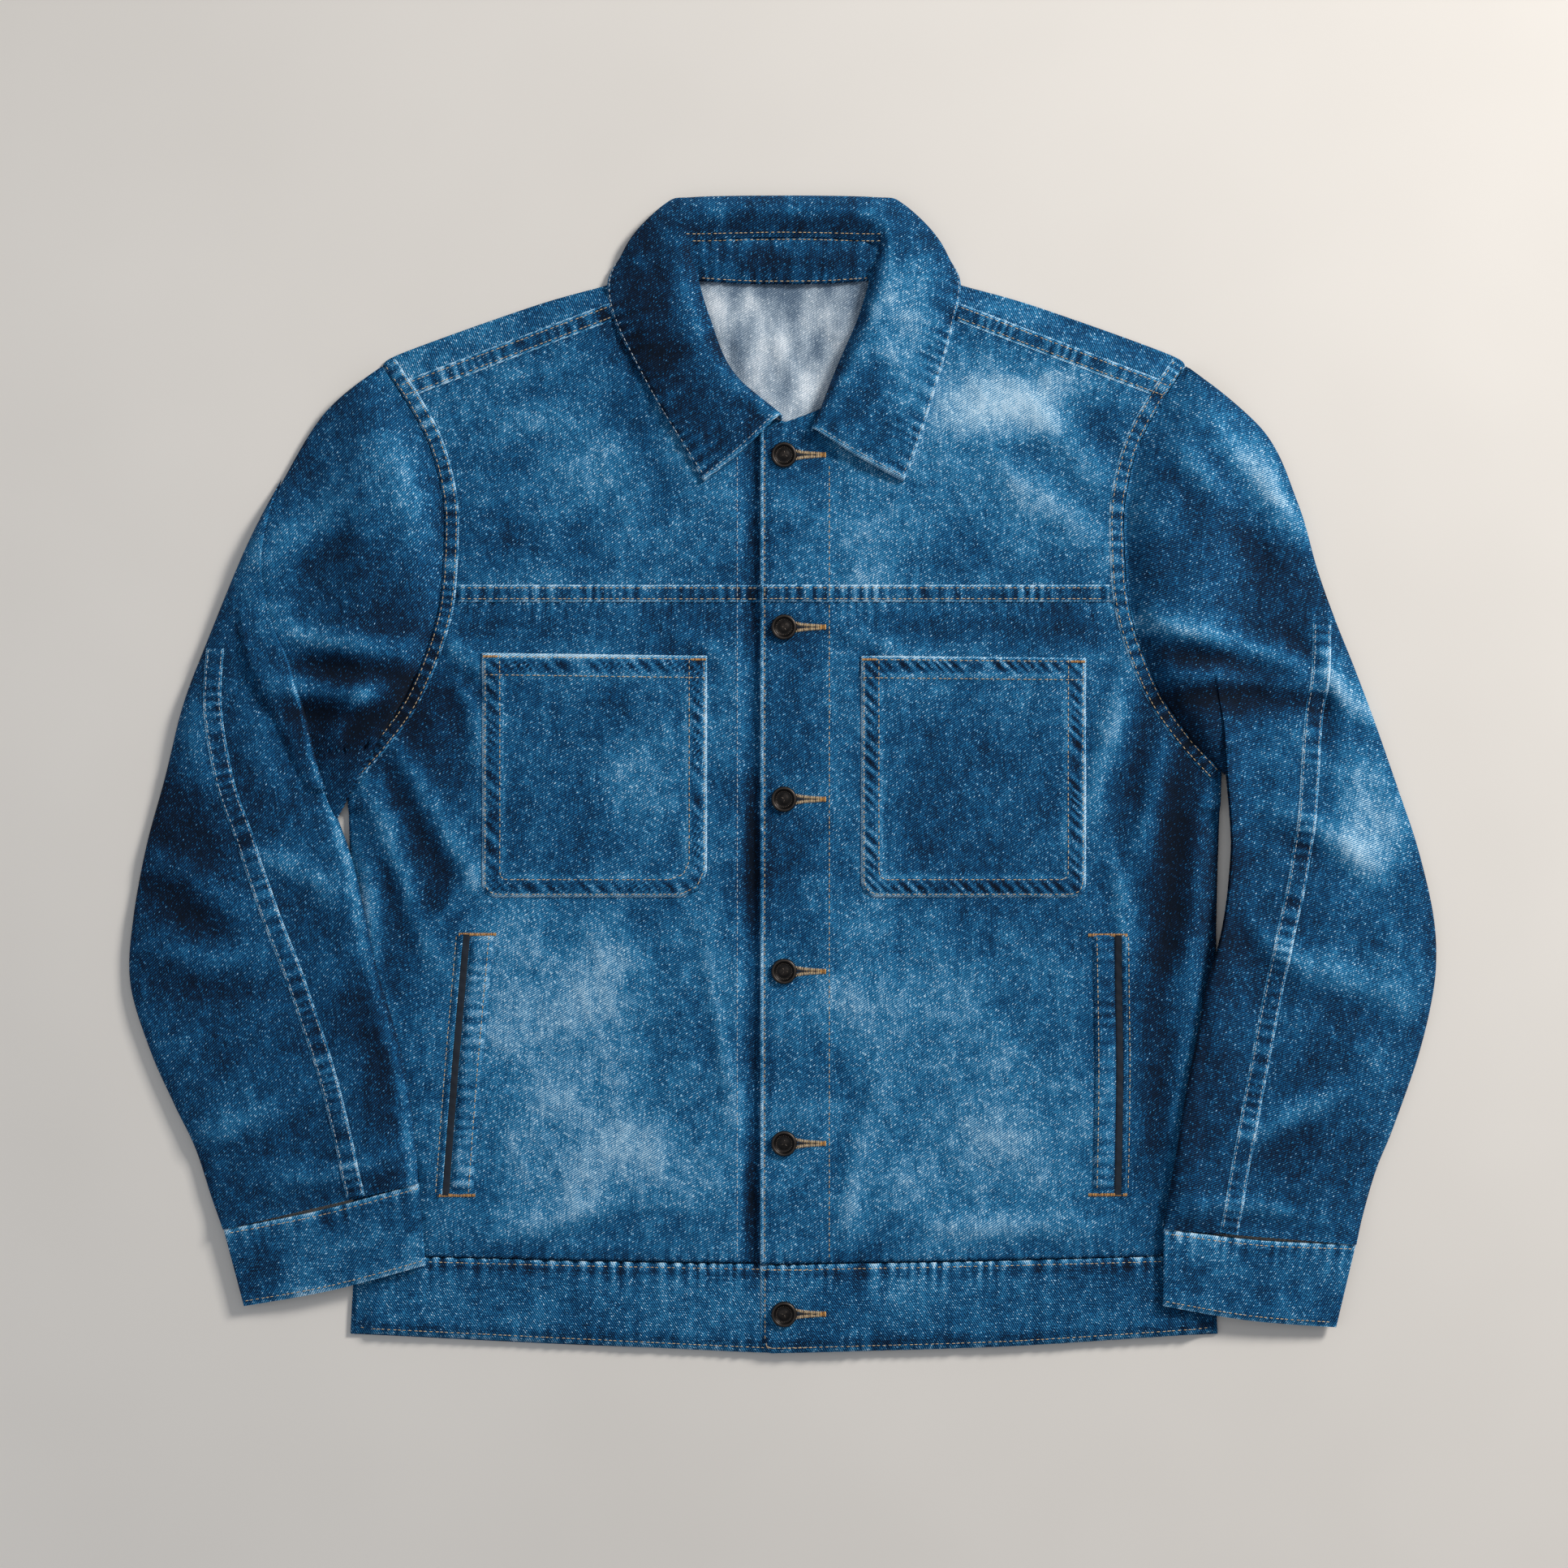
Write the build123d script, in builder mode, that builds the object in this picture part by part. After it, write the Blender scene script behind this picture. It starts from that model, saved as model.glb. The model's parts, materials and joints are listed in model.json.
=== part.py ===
"""Denim jacket lying on its back, buttoned up, with both sleeves drawn down beside the body.

Frame: the origin is on the floor, under the middle of the jacket's outline. +X points to the wearer's left,
+Y to the collar, and +Z up, out of the chest. Lengths are in millimetres.

Cloth pieces are plain soft solids of the right size and place. Each sleeve swings about an upright axis in its
upper arm, and each button's cap turns on its shank.
"""

from build123d import *

import os

os.makedirs("parts", exist_ok=True)

LEFT = 1  # the wearer's left, at +X
RIGHT = -1
SIDES = {LEFT: "left", RIGHT: "right"}

# ---------------------------------------------------------------- the body, laid flat
chest_width = 580.0  # side to side
shoulder_in = 23.5  # the shoulder tip, in from the body's side
armhole_in = 64.0  # the armhole's deepest point, in from the body's side
collar_spread = 236.0  # between the points where the collar's edge leaves the shoulders
neck_width = 144.0  # inside the back neck seam

hem_drop = 14.0  # the hem is this much lower at the centre front than at the sides
side_length = 370.0  # armpit to hem, along the side
armhole_depth = 267.0  # armpit to shoulder tip
shoulder_slope = 58.0  # shoulder tip to neck point
collar_back = 59.0  # neck point to the collar's back fold

waistband_height = 52.0
waist_seam_drop = 6.0  # the waist seam falls this much towards the centre front
chest_seam_height = 120.0  # the front yokes' seam, above the armpit
back_seam_height = 190.0  # the back yoke's seam, above the armpit
shoulder_seam_neck = 25.0  # the back yoke comes this far over the neck end of each shoulder
shoulder_seam_tip = 17.0  # and this far over its outer end
neck_front_drop = 96.0  # neck point to the front neck

front_overlap = 15.6  # the left front's edge, past the centre front
facing_width = 45.6  # the left front's edge to its facing's stitches
underlap = 20.0  # the right front's edge, past the centre front
groove_width = 12.4  # the strip of right front that shows beside the left front's edge
facing_inset = 1.0  # a facing stops this far inside its front's edge

# ---------------------------------------------------------------- cloth thickness and height off the floor
back_ply = 2.0
front_loft = 5.6  # the front, with the air under it
cloth_ply = 1.4
facing_ply = 1.2
waistband_loft = 6.6
pocket_ply = 1.4
pocket_hem_ply = 2.4
welt_ply = 2.0
bag_ply = 1.4
stand_ply = 1.6
under_collar_ply = 2.4
top_collar_ply = 3.0
sleeve_ply = 9.0
cuff_loft = 6.0
sleeve_head_loft = 14.0
layer_gap = 0.4  # between a sleeve and the body or the upper arm that it lies on

# ---------------------------------------------------------------- collar
stand_height = 27.0  # back neck seam to leaf seam
stand_lap = 5.0  # how far the stand laps onto the back yoke
stand_inset = 6.0  # the stand's ends, inside the back neck seam's
stand_band = 14.0  # width of the stand's sides, under the leaf
collar_fold = 150.0  # length of the straight fold behind the neck
collar_point_drop = 129.0  # a collar point's tip, below the neck point
collar_point_out = {RIGHT: 54.0, LEFT: 78.0}  # and out from the centre front
collar_meeting = {RIGHT: -1.0, LEFT: 16.0}  # where each leaf's inner edge ends, out from the centre front
fall_gap = 3.0  # between the back yoke and the part of the leaf that turns down to the floor

# ---------------------------------------------------------------- sleeves
swing_radius = 68.0  # the upper arm's fold, round the swing axis
pivot_reach = 52.0  # the swing axis, out from the body's side
pivot_up = 40.0  # and above the armpit
swing_divide = 54.0  # degrees that the fold's open side leans away from the body
elbow_bulge = 144.0  # the outside of the elbow, out from the body's side
elbow_drop = 118.0  # and below the armpit
cuff_lap = {RIGHT: 49.0, LEFT: 39.0}  # a cuff's inner upper corner, in from the body's side
cuff_inner_drop = {RIGHT: 270.0, LEFT: 300.0}  # and below the armpit
cuff_tilt = {RIGHT: 13.0, LEFT: 5.0}  # degrees that its outer end hangs lower
cuff_width = 131.0
cuff_height = 53.0
cuff_taper = 5.5  # a cuff is this much narrower at each end of its lower edge
sleeve_seam_share = 0.33  # where the sleeve's seam meets the cuff, from its inner end
body_clearance = 0.6  # between the body's side and what hangs beside it

# ---------------------------------------------------------------- pockets
pocket_width = 149.0
pocket_height = 160.0
pocket_hem = 15.0
pocket_corner = 12.0
pocket_middle = 125.5  # a chest pocket's middle, out from the centre front
pocket_top = 79.0  # above the armpit
welt_width = 20.0
welt_length = 176.0
welt_middle = 212.0  # out from the centre front
welt_top = 104.0  # below the armpit
welt_lean = {RIGHT: 4.0, LEFT: 0.0}  # degrees that a welt's lower end leans outwards
bag_width = 110.0
bag_length = 196.0
bag_corner = 14.0
bartack_width = 2.2
bartack_ply = 1.0
pocket_tack_length = 12.0

# ---------------------------------------------------------------- buttons
button_count = 6
button_diameter = 17.0
button_pitch = 114.0
top_button_drop = 55.0  # shoulder tip to the top button
waist_button_rise = 27.0  # hem to the waistband's button
cap_height = 3.1
cap_wall = 0.5
cap_rim = 1.6  # width of the cap's raised rim
cap_lift = 0.3  # between a cap's underside and the cloth
plate_ply = 0.6
plate_gap = 0.1  # between the back plate and the cap's wall, and between it and the shank
shank_radius = 3.6
shank_bore = 2.4
shank_flange = 0.6  # thickness of the shank's flanges
shank_foot_radius = 4.2
shank_top_radius = 5.2
shank_play = 0.2  # up and down, inside the cap
insert_gap = 0.02
nail_radius = 1.2
nail_point = 1.6
nail_hole_gap = 0.1
tack_head_radius = 4.75
tack_head = 1.2
buttonhole_gap = 0.7
buttonhole_slit = 2.0
buttonhole_length = 24.0

# ---------------------------------------------------------------- worked out: places in the plane
total_length = hem_drop + side_length + armhole_depth + shoulder_slope + collar_back
y_hem = -total_length / 2
y_hem_side = y_hem + hem_drop
y_waist_side = y_hem_side + waistband_height
y_waist = y_waist_side - waist_seam_drop
y_armpit = y_hem_side + side_length
y_chest_seam = y_armpit + chest_seam_height
y_back_seam = y_armpit + back_seam_height
y_tip = y_armpit + armhole_depth
y_neck = y_tip + shoulder_slope
y_fold = y_neck + collar_back
y_neck_front = y_neck - neck_front_drop
y_leaf_seam = y_neck + stand_height

half_chest = chest_width / 2
pivot_out = half_chest + pivot_reach
elbow_reach = half_chest + elbow_bulge
half_shoulder = half_chest - shoulder_in
half_front = half_chest - armhole_in
half_collar = collar_spread / 2
half_neck = neck_width / 2
half_fold = collar_fold / 2

free_edge = {LEFT: -front_overlap, RIGHT: -underlap}  # each front's edge, on its own half
main_edge = {LEFT: facing_width - front_overlap, RIGHT: front_overlap + groove_width}

button_y = [y_tip - top_button_drop - button_pitch * n for n in range(button_count - 1)]
button_y.append(y_hem + waist_button_rise)

# ---------------------------------------------------------------- worked out: heights
z_front = back_ply + front_loft
z_right_facing = back_ply + tack_head
z_right_lap = z_right_facing + facing_ply
z_left_facing = z_right_lap + cloth_ply
z_left_lap = z_left_facing + facing_ply
z_lap_top = z_left_lap + cloth_ply
z_waistband = back_ply + waistband_loft
z_body = max(z_waistband, z_lap_top)
z_shelf = z_body + layer_gap
z_sleeve = z_shelf + sleeve_ply
z_cuff = z_shelf + cuff_loft
z_stand = z_lap_top + stand_ply
z_under_collar = z_stand + under_collar_ply
z_collar = z_under_collar + top_collar_ply
z_cap = z_body + cap_lift
z_plate = z_cap + plate_ply
z_shank = z_plate + shank_play + shank_flange
z_ceiling = z_shank + cap_lift

lap_floor = {LEFT: z_left_lap, RIGHT: z_right_lap}
facing_floor = {LEFT: z_left_facing, RIGHT: z_right_facing}

# ---------------------------------------------------------------- corners shared by neighbours, on the left half
shoulder_tip = (half_shoulder, y_tip)
neck_point = (half_collar, y_neck)
neck_corner = (half_neck, y_neck)
seam_tip = (half_shoulder - shoulder_seam_tip, y_tip - shoulder_seam_tip)
seam_neck = (half_collar, y_neck - shoulder_seam_neck)
seam_corner = (half_neck, y_neck - shoulder_seam_neck / 2)
armpit = (half_chest, y_armpit)
waist_side = (half_chest, y_waist_side)
hem_side = (half_chest, y_hem_side)


# ---------------------------------------------------------------- helpers
def on(side, *points):
    """Points given on the left half, on the side asked for."""
    return [(side * x, y) for x, y in points]


def between(outline, x0, y0, x1, y1):
    """The part of an outline inside a rectangle."""
    with BuildSketch() as piece:
        add(outline)
        with Locations(((x0 + x1) / 2, (y0 + y1) / 2)):
            Rectangle(abs(x1 - x0), abs(y1 - y0), mode=Mode.INTERSECT)
    return piece.sketch


def without(outline, other):
    """An outline less another one."""
    with BuildSketch() as piece:
        add(outline)
        add(other, mode=Mode.SUBTRACT)
    return piece.sketch


def common(outline, other):
    """What two outlines share."""
    with BuildSketch() as piece:
        add(outline)
        add(other, mode=Mode.INTERSECT)
    return piece.sketch


def slab(outline, low, high, mode=Mode.ADD):
    """Raises an outline between two heights, in the piece being built."""
    with BuildSketch(Plane.XY.offset(low)) as face:
        add(outline)
    extrude(face.sketch, amount=high - low, mode=mode)


def block(x0, y0, z0, x1, y1, z1, mode=Mode.ADD):
    """A box between two corners, in the piece being built."""
    with Locations(((x0 + x1) / 2, (y0 + y1) / 2, (z0 + z1) / 2)):
        Box(abs(x1 - x0), abs(y1 - y0), z1 - z0, mode=mode)


def save(part, name):
    """Writes one finished piece under its node's name."""
    part.label = name
    export_step(part, f"parts/{name}.step")


# ---------------------------------------------------------------- outlines of the body
def armhole(side):
    """The seam that a sleeve is sewn to, from the front shoulder seam to the armpit."""
    high = (half_front, y_armpit + 0.64 * armhole_depth)
    low = (half_front + 3, y_armpit + 0.34 * armhole_depth)
    Spline(on(side, seam_tip, high, low, armpit))


def front_outline(side):
    """A whole front, yoke and panel together, out to its free edge."""
    edge = free_edge[side]
    neck_low = (0.14 * half_neck, y_neck_front)
    neck_mid = (0.6 * half_neck, y_neck_front + 0.3 * neck_front_drop)
    with BuildSketch() as outline:
        with BuildLine():
            armhole(side)
            Polyline(on(side, armpit, waist_side, (edge, y_waist), (edge, y_neck_front), neck_low))
            Spline(on(side, neck_low, neck_mid, seam_corner))
            Polyline(on(side, seam_corner, seam_neck, seam_tip))
        make_face()
    return outline.sketch


def back_outline():
    """The whole back, panel and yoke together, up to the shoulders' top edges."""
    with BuildSketch() as outline:
        with BuildLine():
            for side in SIDES:
                armhole(side)
                Polyline(on(side, seam_tip, shoulder_tip, neck_point, neck_corner, (0, y_neck)))
                Polyline(on(side, armpit, waist_side, (0, y_waist)))
        make_face()
    return outline.sketch


def waistband_outline(side, edge):
    """One half of the waistband, from its end at x = edge to the side."""
    with BuildSketch() as outline:
        with BuildLine():
            Polyline(on(side, (edge, y_waist), waist_side, hem_side, (edge, y_hem)), close=True)
        make_face()
    return outline.sketch


def shoulder_outline(side):
    """The part of the back yoke that comes over a shoulder to the front."""
    with BuildSketch() as outline:
        with BuildLine():
            corners = [neck_corner, neck_point, shoulder_tip, seam_tip, seam_neck, seam_corner]
            Polyline(on(side, *corners), close=True)
        make_face()
    return outline.sketch


def lap(side):
    """The strip of a front between its free edge and its full thickness."""
    return between(front_outline(side), side * free_edge[side], y_hem, side * main_edge[side], y_fold)


def button_holes(side, low, high):
    """Buttonholes through a left piece, or holes for the nails through a right one."""
    with BuildSketch() as holes:
        with Locations(*[(0, y) for y in button_y]):
            Circle(shank_radius + buttonhole_gap if side == LEFT else nail_radius + nail_hole_gap)
        if side == LEFT:
            with Locations(*[(buttonhole_length / 2, y) for y in button_y]):
                SlotOverall(buttonhole_length, buttonhole_slit)
    slab(holes.sketch, low, high, mode=Mode.SUBTRACT)


# ---------------------------------------------------------------- pockets' outlines
def bag_outline(side):
    """A hand pocket's bag, which reaches from the welt towards the centre front."""
    middle = side * (welt_middle + welt_width - bag_width / 2)
    with BuildSketch() as outline:
        with Locations((middle, y_armpit - welt_top - welt_length / 2)):
            RectangleRounded(bag_width, bag_length, bag_corner)
    return outline.sketch


def welt_place(side):
    """Where a welt's middle lies, and how it leans."""
    return Location((side * welt_middle, y_armpit - welt_top - welt_length / 2), side * welt_lean[side])


# ---------------------------------------------------------------- back
back = back_outline()
with BuildPart() as back_panel:
    slab(between(back, -half_chest, y_hem, half_chest, y_back_seam), 0, back_ply)
save(back_panel.part, "back_panel")

with BuildPart() as back_yoke:
    slab(between(back, -half_chest, y_back_seam, half_chest, y_fold), 0, back_ply)
    for side in SIDES:
        slab(shoulder_outline(side), back_ply, z_front)
save(back_yoke.part, "back_yoke")

# ---------------------------------------------------------------- fronts and their facings
for side, word in SIDES.items():
    outline = front_outline(side)
    thick = between(outline, side * main_edge[side], y_hem, side * half_chest, y_fold)
    far_edge = side * free_edge[side]

    with BuildPart() as front_yoke:
        slab(between(thick, -half_chest, y_chest_seam, half_chest, y_fold), back_ply, z_front)
        slab(between(lap(side), -half_chest, y_chest_seam, half_chest, y_fold), lap_floor[side],
             lap_floor[side] + cloth_ply)
        button_holes(side, lap_floor[side], lap_floor[side] + cloth_ply)
    save(front_yoke.part, f"{word}_front_yoke")

    with BuildPart() as front_panel:
        slab(between(thick, -half_chest, y_hem, half_chest, y_chest_seam), back_ply, z_front)
        slab(between(lap(side), -half_chest, y_hem, half_chest, y_chest_seam), lap_floor[side],
             lap_floor[side] + cloth_ply)
        button_holes(side, lap_floor[side], lap_floor[side] + cloth_ply)
        slab(bag_outline(side), back_ply, back_ply + bag_ply, mode=Mode.SUBTRACT)
    save(front_panel.part, f"{word}_front_panel")

    with BuildPart() as facing:
        inset = side * (free_edge[side] + facing_inset)
        slab(between(lap(side), inset, y_hem, side * main_edge[side], y_fold), facing_floor[side],
             facing_floor[side] + facing_ply)
        button_holes(side, facing_floor[side], facing_floor[side] + facing_ply)
    save(facing.part, f"{word}_front_facing")

# ---------------------------------------------------------------- waistband
with BuildPart() as waistband_left:
    slab(between(waistband_outline(LEFT, free_edge[LEFT]), main_edge[LEFT], y_hem, half_chest, y_armpit),
         back_ply, z_waistband)
    slab(waistband_outline(LEFT, free_edge[LEFT]), z_left_facing, z_waistband)
    button_holes(LEFT, z_left_facing, z_waistband)
save(waistband_left.part, "waistband_left_front")

with BuildPart() as waistband_right:
    slab(between(waistband_outline(RIGHT, free_edge[RIGHT]), -main_edge[RIGHT], y_hem, -half_chest, y_armpit),
         back_ply, z_waistband)
    slab(waistband_outline(RIGHT, free_edge[RIGHT]), z_right_facing, z_left_facing)
    button_holes(RIGHT, z_right_facing, z_left_facing)
save(waistband_right.part, "waistband_right_front")

with BuildPart() as waistband_back:
    for side in SIDES:
        slab(waistband_outline(side, 0), 0, back_ply)
save(waistband_back.part, "waistband_back")


# ---------------------------------------------------------------- collar
def roll_line(side):
    """The inner edge of a collar leaf, from the back neck seam down to the front neck."""
    start = (half_neck - 4, y_neck + 2)
    bend = (half_neck - 11, y_neck_front + 0.72 * neck_front_drop)
    low = (half_neck - 32, y_neck_front + 0.375 * neck_front_drop)
    return [start, bend, low, (collar_meeting[side], y_neck_front)]


def leaf_outline(side):
    """One side of the collar's leaf, from the fold behind the neck to its point."""
    roll = roll_line(side)
    tip = (collar_point_out[side], y_neck - collar_point_drop)
    turn = (0.5 * (half_collar + half_fold) + 7, y_neck + 0.35 * collar_back)
    with BuildSketch() as outline:
        with BuildLine():
            Polyline(on(side, (half_fold, y_fold), roll[0]))
            Spline(on(side, *roll))
            Polyline(on(side, roll[-1], tip, neck_point))
            Spline(on(side, neck_point, turn, (half_fold, y_fold)))
        make_face()
    return outline.sketch


def fold_outline():
    """The straight part of the leaf behind the neck, between its two sides."""
    roll_start = roll_line(LEFT)[0]
    with BuildSketch() as outline:
        with BuildLine():
            corners = [(half_fold, y_fold), roll_start]
            Polyline(*on(LEFT, *corners), *reversed(on(RIGHT, *corners)), close=True)
        make_face()
    return between(outline.sketch, -half_fold, y_leaf_seam, half_fold, y_fold)


def stand_side(side):
    """The stand's side, which follows the roll line under the leaf."""
    roll = roll_line(side)
    outer = [(x + stand_band, y - 0.4 * stand_band) for x, y in roll]
    with BuildSketch() as outline:
        with BuildLine():
            Spline(on(side, *roll))
            Spline(on(side, *outer))
            Line(on(side, roll[0], outer[0]))
            Line(on(side, roll[-1], outer[-1]))
        make_face()
    return outline.sketch


with BuildPart() as collar_stand:
    stand_end = half_neck - stand_inset
    block(-stand_end, y_neck - stand_lap, back_ply, stand_end, y_leaf_seam, back_ply + stand_ply)
    for side in SIDES:
        # the stand climbs at each end of the back neck, then runs forwards over the front
        block(side * (stand_end - 4), y_neck - stand_lap - 2, back_ply, side * (half_neck - 0.5), y_neck + 2, z_stand)
        slab(stand_side(side), z_lap_top, z_stand)
save(collar_stand.part, "collar_stand")

with BuildPart() as under_collar:
    slab(fold_outline(), 0, back_ply)
    for side in SIDES:
        leaf = leaf_outline(side)
        slab(leaf, z_stand, z_under_collar)
        slab(between(leaf, -half_collar, y_neck + fall_gap, half_collar, y_fold), 0, z_stand)
save(under_collar.part, "under_collar")

with BuildPart() as top_collar:
    slab(fold_outline(), back_ply, z_collar)
    for side in SIDES:
        slab(leaf_outline(side), z_under_collar, z_collar)
save(top_collar.part, "top_collar")

# ---------------------------------------------------------------- pockets
for side, word in SIDES.items():
    with BuildPart() as chest_pocket:
        with BuildSketch() as pocket:
            with Locations((side * pocket_middle, y_armpit + pocket_top)):
                Rectangle(pocket_width, pocket_height, align=(Align.CENTER, Align.MAX))
            fillet(pocket.vertices().group_by(Axis.Y)[0], pocket_corner)
        slab(pocket.sketch, z_front, z_front + pocket_ply)
        with BuildSketch() as hem:
            with Locations((side * pocket_middle, y_armpit + pocket_top)):
                Rectangle(pocket_width, pocket_hem, align=(Align.CENTER, Align.MAX))
        slab(hem.sketch, z_front + pocket_ply, z_front + pocket_hem_ply)
    save(chest_pocket.part, f"{word}_chest_pocket")

    with BuildPart() as welt:
        with BuildSketch() as strip:
            with Locations(welt_place(side)):
                Rectangle(welt_width, welt_length)
        slab(strip.sketch, z_front, z_front + welt_ply)
    save(welt.part, f"{word}_hand_pocket_welt")

    with BuildPart() as bag:
        slab(bag_outline(side), back_ply, back_ply + bag_ply)
    save(bag.part, f"{word}_hand_pocket_bag")

with BuildPart() as bartacks:
    for side in SIDES:
        with BuildSketch() as pocket_tacks:
            corner_x = pocket_width / 2 - bartack_width
            with Locations((side * pocket_middle, y_armpit + pocket_top - pocket_tack_length / 2 - 1)):
                with Locations((corner_x, 0), (-corner_x, 0)):
                    Rectangle(bartack_width, pocket_tack_length)
        slab(pocket_tacks.sketch, z_front + pocket_hem_ply, z_front + pocket_hem_ply + bartack_ply)
        with BuildSketch() as welt_tacks:
            end_y = welt_length / 2 - bartack_width
            with Locations(welt_place(side)):
                with Locations((0, end_y), (0, -end_y)):
                    Rectangle(welt_width - bartack_width, bartack_width)
        slab(welt_tacks.sketch, z_front + welt_ply, z_front + welt_ply + bartack_ply)
save(bartacks.part, "bartacks")


# ---------------------------------------------------------------- sleeves
pivot = (pivot_out, y_armpit + pivot_up)
armpit_fold = [(half_chest + 20, y_armpit + 7), (half_chest + 35, y_armpit + 3)]  # the sleeve's edge by the armpit


def cuff_corners(side):
    """A cuff's corners on the left half: inner top, outer top, outer bottom, inner bottom."""
    inner = Vector(half_chest - cuff_lap[side], y_armpit - cuff_inner_drop[side])
    along = Vector(1, 0).rotate(Axis.Z, -cuff_tilt[side])
    down = Vector(0, -1).rotate(Axis.Z, -cuff_tilt[side])
    outer = inner + along * cuff_width
    lower = [outer - along * cuff_taper + down * cuff_height, inner + along * cuff_taper + down * cuff_height]
    return [(v.X, v.Y) for v in (inner, outer, *lower)]


def sleeve_outline(side, folded):
    """A sleeve from above. Folded, it stops at the forearm's inner fold, which lies over the upper arm."""
    inner, outer = cuff_corners(side)[:2]
    shoulder_turn = (half_shoulder + 45, y_tip - 34)
    upper_arm = (half_shoulder + 87, y_armpit + 145)
    above_elbow = (elbow_reach - 52, y_armpit + 75)
    elbow = (elbow_reach, y_armpit - elbow_drop)
    forearm = (elbow_reach - 31, y_armpit - elbow_drop - 107)
    with BuildSketch() as outline:
        with BuildLine():
            Spline(on(side, shoulder_tip, shoulder_turn, upper_arm, above_elbow, elbow, forearm, outer))
            Line(on(side, outer, inner))
            if folded:
                top = (half_chest + 63, y_armpit + 120)
                fold = [(half_chest + 29, y_armpit + 43), (half_chest - 5, y_armpit - 60)]
                Spline(on(side, inner, (half_chest - 30, y_armpit - 160), *reversed(fold), top))
                Line(on(side, top, shoulder_tip))
            else:
                Spline(on(side, inner, (half_chest - 9, y_armpit - 132), (half_chest + 16, y_armpit - 77), armpit_fold[1]))
                Polyline(on(side, armpit_fold[1], armpit_fold[0], armpit))
                armhole(side)
                Line(on(side, seam_tip, shoulder_tip))
        make_face()
    return outline.sketch


def swing_zone(side, radius, upper):
    """The disc round the swing axis, with all that lies above it (or below it) across a slanting line."""
    align = (Align.CENTER, Align.MIN if upper else Align.MAX)
    with BuildSketch() as zone:
        with Locations(*on(side, pivot)):
            Circle(radius)
            Rectangle(2 * total_length, total_length, rotation=side * swing_divide, align=align)
    return zone.sketch


def disc(side, radius):
    """The disc round the swing axis."""
    with BuildSketch() as round_spot:
        with Locations(*on(side, pivot)):
            Circle(radius)
    return round_spot.sketch


def outer_panel(side):
    """Everything on the outer side of the sleeve's felled seam."""
    inner, outer = cuff_corners(side)[:2]
    cuff_end = tuple(a + sleeve_seam_share * (b - a) for a, b in zip(inner, outer))
    lean = 42 if side == RIGHT else 20
    seam = [(pivot_out + lean, pivot[1] + 50), (pivot_out + 0.62 * lean, pivot[1] - 50),
            (cuff_end[0] + 32, y_armpit - elbow_drop - 20), cuff_end]
    far = 2 * elbow_reach
    corners = [(cuff_end[0], y_hem), (far, y_hem), (far, y_tip), (seam[0][0], y_tip), seam[0]]
    with BuildSketch() as outline:
        with BuildLine():
            Spline(on(side, *seam))
            Polyline(on(side, cuff_end, *corners))
        make_face()
    return outline.sketch


def beside_body(side, outline):
    """The part of an outline that reaches down to the floor beside the body, clear of the upper arm."""
    outside = between(outline, side * (half_chest + body_clearance), y_hem, side * 2 * elbow_reach, y_tip)
    return without(outside, disc(side, swing_radius))


for side, word in SIDES.items():
    with BuildPart() as sleeve_head:
        upper_arm = common(sleeve_outline(side, folded=False), swing_zone(side, swing_radius - layer_gap, upper=True))
        slab(upper_arm, 0, z_body)
        slab(without(upper_arm, disc(side, swing_radius + layer_gap)), z_body, sleeve_head_loft)
    save(sleeve_head.part, f"{word}_sleeve_head")

    moving = common(sleeve_outline(side, folded=side == RIGHT), swing_zone(side, swing_radius, upper=False))
    panels = {
        "top_sleeve": common(moving, outer_panel(side)),
        "under_sleeve": without(moving, outer_panel(side)),
    }
    for panel, outline in panels.items():
        with BuildPart() as sleeve_panel:
            slab(outline, z_shelf, z_sleeve)
            slab(beside_body(side, outline), 0, z_shelf)
        save(sleeve_panel.part, f"{word}_{panel}")

    with BuildPart() as cuff:
        with BuildSketch() as cuff_outline:
            with BuildLine():
                Polyline(on(side, *cuff_corners(side)), close=True)
            make_face()
        slab(cuff_outline.sketch, z_shelf, z_cuff)
        slab(beside_body(side, cuff_outline.sketch), 0, z_shelf)
    save(cuff.part, f"{word}_cuff")

# ---------------------------------------------------------------- buttons
button_radius = button_diameter / 2
cap_bore = button_radius - cap_wall


def turned(profile, name=None):
    """The same turned piece at every button, or only at button number name."""
    rows = button_y if name is None else [button_y[name - 1]]
    for y in rows:
        with BuildSketch(Plane.XZ.offset(-y)) as section:
            with BuildLine():
                Polyline(*profile, close=True)
            make_face()
        revolve(section.sketch, axis=Axis((0, y, 0), (0, 0, 1)))


for number in range(1, button_count + 1):
    rim_inside = button_radius - cap_rim
    ring = rim_inside * 0.62
    z_dish = z_ceiling + cap_wall
    z_rim = z_cap + cap_height
    with BuildPart() as cap:
        turned([
            (0, z_ceiling), (cap_bore, z_ceiling), (cap_bore, z_cap), (button_radius - 0.2, z_cap),
            (button_radius, z_cap + 0.4), (button_radius, z_rim - 0.7), (button_radius - 0.5, z_rim),
            (rim_inside, z_rim), (rim_inside - 0.5, z_dish), (ring, z_dish), (ring - 0.4, z_dish + 0.35),
            (ring - 0.8, z_dish + 0.35), (ring - 1.2, z_dish), (0, z_dish),
        ], number)
    save(cap.part, f"button_cap_{number}")

    with BuildPart() as plate:
        turned([
            (shank_radius + plate_gap, z_cap), (cap_bore - plate_gap, z_cap),
            (cap_bore - plate_gap, z_plate), (shank_radius + plate_gap, z_plate),
        ], number)
    save(plate.part, f"button_back_plate_{number}")

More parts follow.
